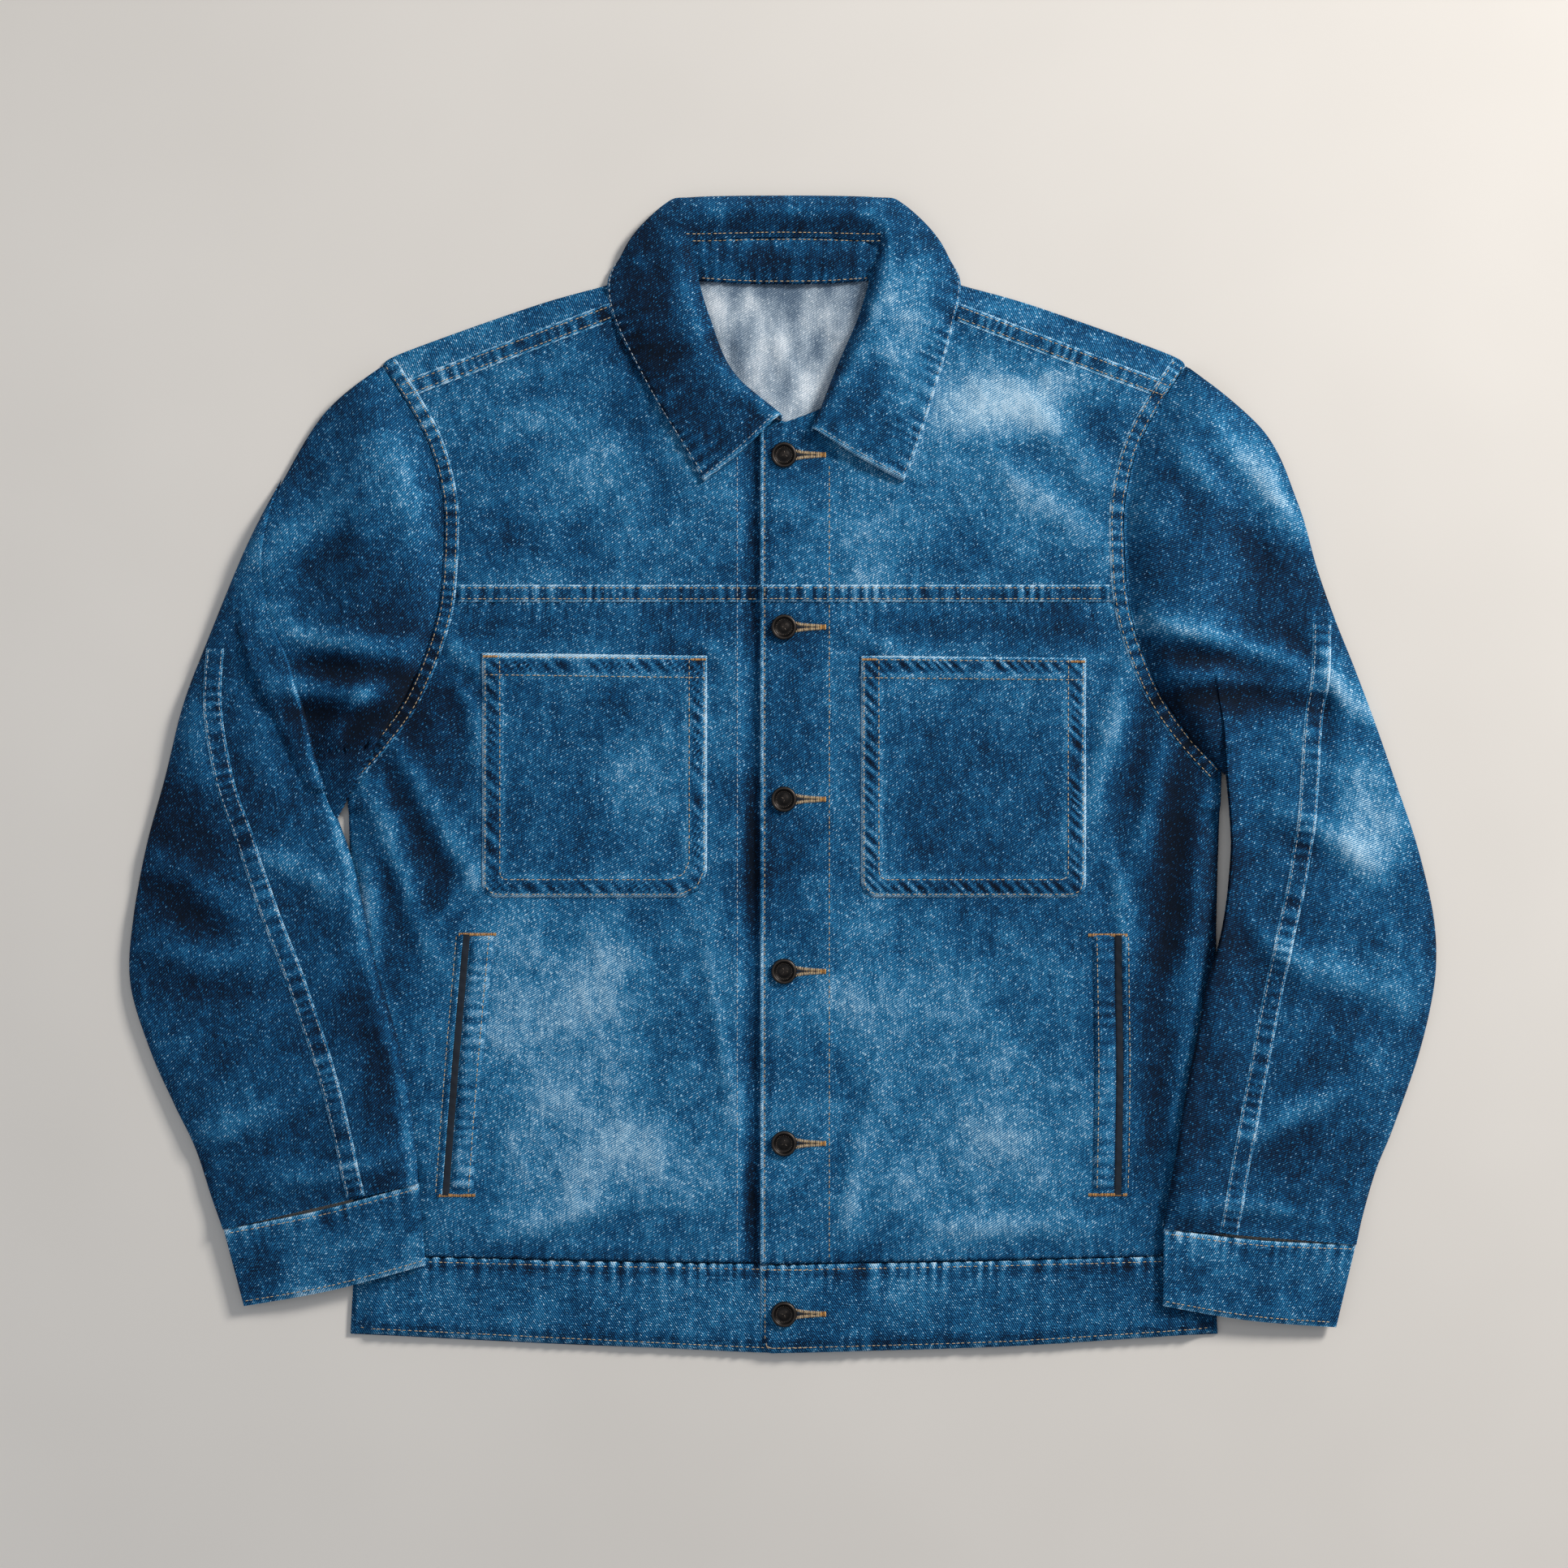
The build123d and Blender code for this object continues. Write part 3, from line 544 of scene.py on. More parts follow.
def finish_piece(bm, name, material, nodes, body, solid=0.0, remember=True):
    """Makes the object, remembers its surface, and hands it to the frame."""
    mesh = bpy.data.meshes.new(name)
    if remember:
        remember_surface(bm)
    bm.to_mesh(mesh)
    bm.free()
    for polygon in mesh.polygons:
        polygon.use_smooth = True
    piece = show(name, mesh)
    mesh.materials.append(material)
    if solid:
        wall = piece.modifiers.new("cloth thickness", "SOLIDIFY")
        wall.thickness, wall.offset = solid * MM, -1
    if nodes:
        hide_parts(*nodes)
    if body in SIDES:
        word = SIDES[body]
        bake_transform(piece, ROOT, f"{word}_forearm", start=bend_start[body], end=bend_end[body])
    else:
        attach(piece, body)
    return piece


def remember_surface(bm):
    """Keeps a mesh's surface, and the box that it covers, for ground()."""
    xs, ys = [v.co.x for v in bm.verts], [v.co.y for v in bm.verts]
    surfaces.append((min(xs), max(xs), min(ys), max(ys), BVHTree.FromBMesh(bm)))


def ground(x, y, default=1.0):
    """Height of the highest finished surface under a place, in millimetres."""
    x, y, best = x * MM, y * MM, None
    for x0, x1, y0, y1, tree in surfaces:
        if x0 <= x <= x1 and y0 <= y <= y1:
            hit = tree.ray_cast(Vector((x, y, 0.2)), Vector((0, 0, -1)))[0]
            if hit is not None and (best is None or hit.z > best):
                best = hit.z
    return default if best is None else best / MM


def face_up(bm, up=True):
    """Turns all the faces of an open sheet the same way."""
    tilt = sum(f.normal.z for f in bm.faces)
    if (tilt > 0) != up:
        bmesh.ops.reverse_faces(bm, faces=bm.faces[:])


def lay_grain(bm, uv, turn=Matrix.Identity(2)):
    """Gives the UV map the distances seen from above, turned to the grain."""
    for face in bm.faces:
        for loop in face.loops:
            loop[uv].uv = turn @ loop.vert.co.xy


def panel(place, height, wide, tall, cell=2.6, grain=0.0, gathers=(1, 1, 1, 1), seed=0.0, tone=0.0,
          group="body", up=True, worn=(0, 0, 0, 0)):
    """A panel's mesh. gathers are how strongly its bottom, top, left and right seams pucker it, and worn how pale
    those edges have rubbed."""
    bm = bmesh.new()
    across, rows = max(2, round(wide / cell)), max(2, round(tall / cell))
    bmesh.ops.create_grid(bm, x_segments=across, y_segments=rows, size=0.5)
    fade_and_shade = bm.verts.layers.float.new("fade_and_shade")
    uv = bm.loops.layers.uv.new("cloth")
    turn = Matrix.Rotation(-radians(grain), 2)
    for v in bm.verts:
        s, t = v.co.x + 0.5, v.co.y + 0.5
        p = place(s, t)
        edges = ((s * wide, t * tall), (s * wide, (1 - t) * tall), (t * tall, s * wide), (t * tall, (1 - s) * wide))
        pull = sink = 0.0
        for side, ((along, away), strength) in enumerate(zip(edges, gathers)):
            if strength:
                pull += strength * pucker(along, away, seed + 3.7 * side)
                sink += min(strength, 1) * exp(-away / 5.0)
        lift = relief(p.x, p.y, group)
        z = max(height(p.x, p.y, s, t) + 0.55 * pull - 0.8 * sink, LOWEST)
        v.co = Vector((p.x, p.y, z)) * MM
        # Gathers paler on their crests and darker in their troughs, as wear and painted light and shade; close to the
        # seams the sink paints the shade of the overlapping cloth.
        v[fade_and_shade] = fade_and_shade_at(p.x, p.y, lift) + tone + 0.17 * pull - 0.10 * sink
        for (along, away), wear in zip(edges, worn):
            if wear and away < 12:
                v[fade_and_shade] += wear * (0.75 + 0.7 * noise.noise(Vector((along / 6, seed, 8.0)))) * exp(-(away / 2.0) ** 1.5)
                v[fade_and_shade] -= 0.35 * wear * exp(-((away - 6.0) / 2.6) ** 2)
    bm.normal_update()
    face_up(bm, up)
    lay_grain(bm, uv, turn)
    return bm


# %% [markdown]
# ## Where the sleeves bend
# A sleeve swings out from the body. The cloth near the armpit stays, the forearm goes all the way, and the cloth
# between turns little by little. Every piece of a sleeve shares the same start and end, so none comes apart.

# %% Bending zones
bend_line = Vector((0.8, -0.6))
bend_start, bend_end = {}, {}
for side in SIDES:
    armpit_along = half_chest * bend_line.x  # how far along the line the armpit lies
    for store, distance in ((bend_start, armpit_along - 17), (bend_end, armpit_along + 98)):
        flat = bend_line * distance
        store[side] = (side * flat.x * MM, flat.y * MM, 0.0)
print("bend from", bend_start[LEFT], "to", bend_end[LEFT])

# %% [markdown]
# ## Seams and stitches
# A flat-felled seam is a band of four layers of cloth, so it stands up from the cloth round it. Washing shrinks
# the thread and the band gathers into small waves whose crests wear pale, and the colour also paints light on
# the crests and shade in the troughs. A stitch is a short fat thread that dips into the cloth at both ends, and
# each one is laid on the surface that is there when it is sewn.

# %% Bands and rows of stitches
def ribbon(name, path, low, high, body, material_slot, raised=0.9, material=None, tone=0.0, group="body", wave=0.26,
           remember=True, cloth=True):
    """A raised band from one offset to another beside a path. A gap in the cloth is a band painted with the shade in
    it, which isn't cloth.
    """
    bm = bmesh.new()
    rows = max(2, round(len(path) / 1.7))
    bmesh.ops.create_grid(bm, x_segments=8, y_segments=rows, size=0.5)
    fade_and_shade = bm.verts.layers.float.new("fade_and_shade")
    uv = bm.loops.layers.uv.new("cloth")
    edge_low, edge_high = beside(path, low), beside(path, high)
    seed = low + high + path[0].x
    for v in bm.verts:
        s, t = v.co.x + 0.5, v.co.y + 0.5
        p = spot(edge_low, t).lerp(spot(edge_high, t), s)
        across = abs(2 * s - 1)
        crown = 1 - 0.75 * across ** 5
        pull = pucker(t * len(path), 0.0, seed)
        lift = relief(p.x, p.y, group)
        v.co = Vector((p.x, p.y, ground(p.x, p.y) + raised * crown + 0.42 * pull * (1 - across ** 2))) * MM
        # The band's waves are paler on their crests and darker in their troughs: wear, with painted light and shade.
        v[fade_and_shade] = (fade_and_shade_at(p.x, p.y, lift) + tone + wave * pull + 0.42 * wave / 0.26 * smooth(0.72, 1.0, across)
                   - 0.10 * (across < 0.7))
    bm.normal_update()
    face_up(bm)
    lay_grain(bm, uv)
    piece = finish_piece(bm, name, material or indigo, (), body, remember=remember)
    return piece


def rows_of_stitches(name, rows, material, body, long=2.6, pitch=3.5, thick=0.58):
    """Stitches along several paths, as one piece."""
    bm = bmesh.new()
    for path in rows:
        for i in range(int((len(path) - 3) / pitch)):
            first = min(round(i * pitch) + 1, len(path) - 2)
            a, b = path[first], path[min(first + round(long), len(path) - 1)]
            if (b - a).length < 0.6:
                continue
            low, high = ground(a.x, a.y), ground(b.x, b.y)
            if abs(high - low) > 1.5:
                continue
            middle = (a + b) / 2
            middle.z = (low + high) / 2 + 0.12
            along = Vector((b.x - a.x, b.y - a.y, high - low))
            turn = along.to_track_quat("X", "Z").to_matrix().to_4x4()
            size = Matrix.Diagonal((long * MM, thick * MM, thick * 0.7 * MM, 1))
            bmesh.ops.create_uvsphere(bm, u_segments=6, v_segments=4, radius=0.5,
                                      matrix=Matrix.Translation(middle * MM) @ turn @ size)
    return finish_piece(bm, name, material, (), body, remember=False)


def crosswise(path, width, pitch=0.8):
    """Short paths across a line, for bartacks and the edge of a buttonhole."""
    left, right = beside(path, width / 2), beside(path, -width / 2)
    count = max(2, int(len(path) / pitch))
    return [(left[min(round(i * pitch), len(left) - 1)], right[min(round(i * pitch), len(right) - 1)])
            for i in range(count)]


def tack(groups, thick=0.55):
    """Close crosswise threads over each of several lines: a bartack, or the worked edge of a buttonhole."""
    bm = bmesh.new()
    for path, width in groups:
        for a, b in crosswise(path, width):
            middle = (a + b) / 2
            middle.z = ground(middle.x, middle.y) + 0.35
            along = (b - a).to_2d().to_3d()
            turn = along.to_track_quat("X", "Z").to_matrix().to_4x4()
            size = Matrix.Diagonal((along.length * MM, thick * 1.6 * MM, thick * MM, 1))
            bmesh.ops.create_uvsphere(bm, u_segments=6, v_segments=4, radius=0.5,
                                      matrix=Matrix.Translation(middle * MM) @ turn @ size)
    return bm


def cut_at(path, y):
    """A path in two, where it first comes to a height."""
    first = next(i for i, p in enumerate(path) if (p.y <= y) != (path[0].y <= y))
    return path[:first + 1], path[first:]


# %% [markdown]
# ## The back
# The back is cut in a wide yoke and a panel. Most of it is under the front. What shows is its inside, paler than
# the face, in the opening of the neck, and the strips of yoke that come forward over the shoulders.

# %% Back panel and back yoke
def armhole(side):
    """The seam between the body and the sleeve, from the shoulder to the armpit."""
    return curve(*on(side, seam_tip, (half_shoulder - 31, y_neck - 106), (half_shoulder - 40, y_neck - 141),
                     (half_shoulder - 41, y_neck - 170), (half_shoulder - 38, y_neck - 211),
                     (half_chest - 52, 81), (half_chest - 38, 50), (half_chest - 20, 25), (half_chest, 3)))


def body_side(side):
    """From the armpit down to the waist seam."""
    return curve(*on(side, (half_chest, 3), (half_chest - 3, -100), (half_chest - 3, -220),
                     (half_chest - 5, y_waist_side)))


def flat_sheet(height):
    """A height function for cloth that lies at one level."""
    return lambda x, y, s, t: height


shoulder_corner = {s: Vector((s * half_shoulder, y_neck - 54, 0)) for s in SIDES}
back_low = straight((-half_chest + 5, y_waist_side - 2), (half_chest - 5, y_waist_side - 2))
back_mid = straight((-half_shoulder + 40, y_back_seam), (half_shoulder - 40, y_back_seam))
back_edges = {s: joined(list(reversed(body_side(s))), [p for p in reversed(armhole(s)) if p.y <= y_back_seam],
                        [Vector((s * (half_shoulder - 40), y_back_seam, 0))]) for s in SIDES}
bm = panel(patch(back_low, back_mid, back_edges[RIGHT], back_edges[LEFT]), flat_sheet(1.7),
           2 * half_chest, y_back_seam - y_waist_side, cell=9, gathers=(0, 0, 0, 0))
back = finish_piece(bm, "back", indigo, ["back_panel"], ROOT, solid=DENIM)

yoke_top = curve((-half_shoulder, y_neck - 54), (-half_collar, y_neck), (0, y_neck + 6), (half_collar, y_neck),
                 (half_shoulder, y_neck - 54))
yoke_low = straight((-half_shoulder + 40, y_back_seam - 4), (half_shoulder - 40, y_back_seam - 4))
yoke_sides = {s: joined([p for p in reversed(armhole(s)) if p.y >= y_back_seam - 4], [shoulder_corner[s]])
              for s in SIDES}


def yoke_height(x, y, s, t):
    """The inside of the back yoke shows soft waves in the neck."""
    waves = 1.2 * relief(x * 1.6, y * 1.3, "body") * smooth(0, 0.2, t) + 1.5 * sin(x / 13 + y / 34 + 1)
    under_stand = smooth(0.66, 0.86, t)
    return max(4.8 - 1.4 * under_stand + waves * (1 - 0.8 * under_stand), 2.9)


bm = panel(patch(yoke_low, yoke_top, yoke_sides[RIGHT], yoke_sides[LEFT]), flat_sheet(1.4),
           2 * half_shoulder, y_neck - y_back_seam, cell=6, gathers=(0, 0, 0, 0))
for v in bm.verts:
    v.co.y -= 3 * MM
    v.co.x *= 0.99
piece = finish_piece(bm, "back_yoke_cloth", indigo, ["back_yoke"], ROOT, solid=0.9)
neck_low = straight((-60, y_back_seam + 8), (60, y_back_seam + 8))
neck_high = straight((-92, y_neck + 6), (92, y_neck + 6))
bm = panel(patch(neck_low, neck_high, straight(neck_low[0].xy[:], neck_high[0].xy[:]),
                                     straight(neck_low[-1].xy[:], neck_high[-1].xy[:])), yoke_height,
           160, 130, cell=2.4, gathers=(0, 0, 0, 0), tone=0.08)
fade_and_shade = bm.verts.layers.float["fade_and_shade"]
for v in bm.verts:
    x, y = v.co.x / MM, v.co.y / MM
    # Cloudy tone, and painted shade in a band under the collar stand.
    v[fade_and_shade] += 0.55 * noise.noise(Vector((x / 12, y / 30, 6.0))) - 0.30 * smooth(308, 328, y)
yoke_inside = finish_piece(bm, "back_yoke_inside", reverse, (), ROOT, solid=0.8)


# %% [markdown]
# ## The fronts
# Each front is a yoke and a long panel. The left front closes over the right one, and its edge is doubled for
# the buttonholes. The right front steps down beside that edge, and shade is painted into the cloth along that
# step, so a dark gap shows there.

# %% Fronts
inner_edge = {LEFT: placket_edge, RIGHT: corners("right_front_panel")[1].x}
groove_edge = placket_edge - 12.4


def near_button(x, y):
    """How closely a button holds the cloth down: 1 under it, 0 away from it."""
    return max(exp(-((x - b.x) ** 2 + (y - b.y) ** 2) / 200) for b in buttons)


def front_height(side):
    """The height of a front, with its doubled edge and the cloth held down round the buttons."""
    def height(x, y, s, t):
        hold = near_button(x, y)
        z = body_height(x, y) * (1 - hold) + 6.6 * hold
        if side == LEFT:
            return z + 1.5 - 1.0 * smooth(26, 36, x)
        return z + 0.2 - 2.0 * smooth(groove_edge - 3, groove_edge + 1, x)
    return height


def waist_line(side):
    """The waist seam, from a front's inner edge to the side."""
    return curve((inner_edge[side], y_waist),
                 *on(side, (half_chest * 0.5, y_waist + 3), (half_chest - 5, y_waist_side)))


def neck_line(side):
    """A front yoke's top: up its neckline, then along the forward shoulder seam."""
    neck = curve((inner_edge[side], y_neck - 97), *on(side, (half_neck - 30, y_neck - 72), (half_neck - 4, y_neck - 26),
                                                     (half_collar, y_neck - 24)))
    return joined(neck, straight(*on(side, (half_collar, y_neck - 24), seam_tip)))


for side, word in SIDES.items():
    hole = armhole(side)
    upper, lower = cut_at(hole, y_chest_seam)
    inner_low = straight((inner_edge[side], y_waist), (inner_edge[side], y_chest_seam))
    inner_high = straight((inner_edge[side], y_chest_seam - 5.5), (inner_edge[side], y_neck - 97))
    chest = straight((inner_edge[side], y_chest_seam), lower[0][:2])
    outer = list(reversed(joined(lower, body_side(side))))
    tall, wide = y_chest_seam - y_waist, half_chest - side * inner_edge[side]
    bm = panel(patch(waist_line(side), chest, inner_low, outer), front_height(side), wide, tall,
               cell=2.1, gathers=(0.9, 1.5, 0.25, 0.0), seed=side * 2.0, grain=2.0 * side, worn=(0, 0, 0.3, 0))
    front = finish_piece(bm, f"{word}_front", indigo, [f"{word}_front_panel", f"{word}_front_facing"], ROOT,
                         solid=DENIM)
    yoke_edge = [p for p in reversed(cut_at(hole, y_chest_seam - 5.5)[0])]
    chest_edge = straight((inner_edge[side], y_chest_seam - 5.5), yoke_edge[0][:2])
    tall, wide = y_neck - 24 - y_chest_seam, half_shoulder - 20 - side * inner_edge[side]
    base = front_height(side)
    bm = panel(patch(chest_edge, neck_line(side), inner_high, yoke_edge),
               lambda x, y, s, t, base=base: base(x, y, s, t) + 0.9, wide, tall, cell=2.1,
               gathers=(1.0, 0.9, 0.25, 0.8), seed=side * 5.0, grain=-2.0 * side, tone=-0.02, worn=(0.45, 0, 0.3, 0))
    yoke = finish_piece(bm, f"{word}_yoke", indigo, [f"{word}_front_yoke"], ROOT, solid=DENIM)

# %% [markdown]
# ## The shoulders
# The back yoke wraps over each shoulder and is sewn to the front yoke in a felled seam. The wrap falls away to
# the fold, which is the outline of the shoulder.

# %% Shoulder wraps and their seams
for side, word in SIDES.items():
    seam = straight(*on(side, (half_collar - 22, y_neck - 17), seam_tip))
    crest = curve(*on(side, (half_collar - 22, y_neck + 7), (half_collar + 1, y_neck), (half_collar + 50, y_neck - 14),
                      (half_shoulder - 12, y_neck - 45), (half_shoulder, y_neck - 54)))
    neck_end = straight(seam[0].xy[:], crest[0].xy[:])
    tip_end = straight(seam[-1].xy[:], crest[-1].xy[:])

    def wrap_height(x, y, s, t):
        return 8.4 - 6.6 * smooth(0.35, 1.0, t) ** 1.3 + 0.5 * relief(x, y, "body") * (1 - t)

    bm = panel(patch(seam, crest, neck_end, tip_end), wrap_height, len(seam), 30, cell=2.1,
               gathers=(1.0, 0, 0, 0.5), seed=side * 9.0, grain=80)
    wrap = finish_piece(bm, f"{word}_shoulder", indigo, (), ROOT, solid=DENIM)
    lower_edge = straight(*on(side, (half_collar - 22, y_neck - 17), seam_tip))
    ribbon(f"{word}_shoulder_seam", lower_edge, *sorted((0.0, side * 11.5)), ROOT, "denim_back", raised=1.0)
    hole = armhole(side)
    top = [shoulder_corner[side].lerp(hole[0], k / 20) for k in range(20)]
    full_hole = joined(top, hole)
    ribbon(f"{word}_armhole_seam", full_hole, *sorted((0.5 * side, -10.0 * side)), ROOT, "denim_front", raised=1.0)
    tan_rows = [beside(lower_edge, side * 2.2), beside(lower_edge, side * 9.2),
                beside(full_hole, -2.0 * side), beside(full_hole, -8.2 * side)]
    rows_of_stitches(f"{word}_shoulder_stitches", tan_rows, tan_thread, ROOT)
    reach = half_shoulder - 51
    chest_rows = [straight((inner_edge[side] + side * 2, y_chest_seam - 3.2), (side * reach, y_chest_seam - 3.2)),
                  straight((inner_edge[side] + side * 2, y_chest_seam + 4.0), (side * reach, y_chest_seam + 4.0))]
    seam_low = straight((inner_edge[side] + side, y_chest_seam - 5.0), (side * reach, y_chest_seam - 5.0))
    ribbon(f"{word}_chest_seam", seam_low, *sorted((0.0, side * 11.0)), ROOT, "denim_front", raised=0.8)
    rows_of_stitches(f"{word}_chest_stitches", chest_rows, tan_thread, ROOT)
print("shoulders done")

# %% [markdown]
# ## The waistband
# A straight band closes the bottom edge. It is cut across the grain, doubled over at the hem, and sewn to the
# fronts with a row of stitches along each edge. The left end laps over the right one and has a rounded corner.

# %% Waistband
band_edge = {LEFT: corners("waistband_left_front")[0].x, RIGHT: corners("waistband_right_front")[1].x}


def band_height(side):
    """A doubled band: full between its edges, rounded down at the hem and at its front end."""
    def height(x, y, s, t):
        away = min(t * 54, (1 - t) * 54 + 3, abs(x - band_edge[side]) + 1.5)
        z = 6.0 + 1.8 * smooth(0, 7, away) + 0.45 * relief(x, y * 2, "body")
        z -= 4.0 * smooth(-14, 0, abs(x) - half_chest + 5)
        hold = near_button(x, y)
        z = z * (1 - hold) + 6.9 * hold
        return z + (1.1 - 0.5 * smooth(30, 60, x) if side == LEFT else -0.6)
    return height


band_corner = {s: (s * (half_chest - 2), y_hem_side - 1) for s in SIDES}
waist_corner = {s: (s * (half_chest - 5), y_waist_side) for s in SIDES}
bm = panel(patch(curve(band_corner[RIGHT], (0, y_hem + 2), band_corner[LEFT]),
                 straight(waist_corner[RIGHT], waist_corner[LEFT]),
                 straight(band_corner[RIGHT], waist_corner[RIGHT]),
                 straight(band_corner[LEFT], waist_corner[LEFT])),
           flat_sheet(2.6), 2 * half_chest, 52, cell=5, gathers=(0.2, 0, 0, 0), grain=90, tone=-0.05)
piece = finish_piece(bm, "waistband_behind", indigo, ["waistband_back"], ROOT, solid=1.8)
for side, word in SIDES.items():
    end = band_edge[side]
    seam = curve((end, y_waist - 1), *on(side, (half_chest * 0.5, y_waist + 2), (half_chest - 5, y_waist_side)))
    if side == LEFT:
        corner = curve((end, y_hem + 8), (end + 1.5, y_hem + 3), (end + 7, y_hem + 0.5))
        hem = joined(corner, curve((end + 7, y_hem + 0.5), (half_chest * 0.5, y_hem + 5), (half_chest - 5, y_hem_side)))
        front_end = straight((end, y_hem + 8), (end, y_waist - 1))
    else:
        hem = curve((end, y_hem + 1),
                    *on(side, (20, y_hem + 1), (half_chest * 0.5, y_hem + 7), (half_chest - 5, y_hem_side)))
        front_end = straight((end, y_hem + 1), (end, y_waist - 1))
    side_end = straight(hem[-1].xy[:], seam[-1].xy[:])
    bm = panel(patch(hem, seam, front_end, side_end), band_height(side), half_chest, 54, cell=2.1,
               gathers=(1.2, 2.9, 0.1, 0), seed=side * 13.0, grain=90, tone=-0.02, worn=(0.4, 0.4, 0.5, 0))
    piece = finish_piece(bm, f"{word}_waistband", indigo, [f"waistband_{word}_front"], ROOT, solid=1.8)
    rows = [beside(seam, -3.2 * side), beside(hem, 3.6 * side)]
    if side == LEFT:
        rows.append(straight((end + 3.0, y_hem + 9), (end + 3.0, y_waist - 4)))
    rows_of_stitches(f"{word}_waistband_stitches", rows, tan_thread, ROOT)

# %% [markdown]
# ## The placket
# The edge of the left front carries two rows of stitches: one along the edge, and one where the facing inside
# ends. The right front has one row, which shows in the gap beside the edge.

# %% Placket stitches
low_y, high_y = y_waist + 3, y_neck - 99
placket_rows = [straight((placket_edge + 2.8, low_y), (placket_edge + 2.8, high_y)),
                straight((placket_seam, low_y), (placket_seam, high_y - 18))]
rows_of_stitches("placket_stitches", placket_rows, tan_thread, ROOT)
rows_of_stitches("under_placket_stitches", [straight((groove_edge - 3.0, low_y), (groove_edge - 3.0, high_y - 4))],
                 pale_thread, ROOT)
ribbon("placket_edge", straight((placket_edge, y_waist), (placket_edge, y_neck - 97)), -1.9, 0.2, ROOT, "denim_front",
       raised=0.55, tone=0.34, wave=0.16)

# %% [markdown]
# ## The chest pockets
# Each pocket is a patch with a hemmed mouth, sewn on over the front after the chest seam. Two rows of stitches
# run round its sides, one at the edge and one a finger's width in, and bartacks lock both ends of the mouth.

# %% Chest pockets
for side, word in SIDES.items():
    low, high = corners(f"{word}_chest_pocket")
    tilt = 2.0 if side == RIGHT else -1.5
    cut = 17.0 if side == RIGHT else 9.0

    def corner_points(inset):
        """A pocket's edge, from its outer top corner round the bottom to the inner one."""
        a, b = side * max(side * low.x, side * high.x), side * min(side * low.x, side * high.x)
        a, b = a - side * inset, b + side * inset
        bottom, top = low.y + inset, high.y
        small = max(8.0 - inset * 0.4, 2.0)
        large = max(cut - inset * 0.4, 2.0)
        return [(a, top + tilt), (a, bottom + small), (a - side * small * 0.3, bottom + small * 0.3),
                (a - side * small, bottom), (b + side * large, bottom), (b + side * large * 0.3, bottom + large * 0.3),
                (b, bottom + large), (b, top)]

    rim = corner_points(0)
    outer = straight(*reversed(rim[:3]))
    base_line = straight(*rim[2:6])
    inner = straight(*rim[5:])
    mouth = straight(rim[0], rim[-1])

    def pocket_height(x, y, s, t):
        away = min(s * 149, (1 - s) * 149, t * 160)
        rise = 0.8 + 0.9 * smooth(0, 6, away) - 0.45 * smooth(11, 16, away)
        return ground(x, y) + rise + 0.9 * smooth(0.90, 0.915, t) + 0.25 * relief(x + 31, y - 57, "body")

    bm = panel(patch(base_line, mouth, outer, inner), pocket_height, high.x - low.x, high.y - low.y, cell=2.0,
               gathers=(0.35, 0.15, 0.35, 0.35), seed=side * 17.0, tone=-0.05, grain=2 * side)
    fade_and_shade = bm.verts.layers.float["fade_and_shade"]
    for v in bm.verts:
        x, y = v.co.x / MM, v.co.y / MM
        away = min(x - low.x, high.x - x, y - low.y, high.y - y)
        v[fade_and_shade] += 0.60 * exp(-(max(away, 0) / 2.0) ** 1.5) + 0.18 * exp(-((away - 13.2) / 2.0) ** 2)
        # Gathers painted in light and shade along the stitched edge band, and a little darker inside it.
        v[fade_and_shade] += 0.60 * pucker(x + y, abs(away - 6.5) * 2.5, side * 19.0) - 0.06 * (2 < away < 12)
    piece = finish_piece(bm, f"{word}_pocket", indigo, [f"{word}_chest_pocket"], ROOT, solid=DENIM)
    rows = [straight(*corner_points(2.0)), straight(*corner_points(11.8))]
    bottom_hem, top_hem = 14.5, 2.4
    for drop in (bottom_hem, top_hem):
        rows.append(straight((rim[0][0], high.y - drop + tilt), (rim[-1][0], high.y - drop)))
    rows_of_stitches(f"{word}_pocket_stitches", rows, tan_thread, ROOT)

# %% [markdown]
# ## The hand pockets
# A hand pocket is a slit in the front panel with a welt that stands in it. The mouth, on the outer side of the
# welt, is a band painted with the shade in the opening. The bag hangs inside, between the front and the back.

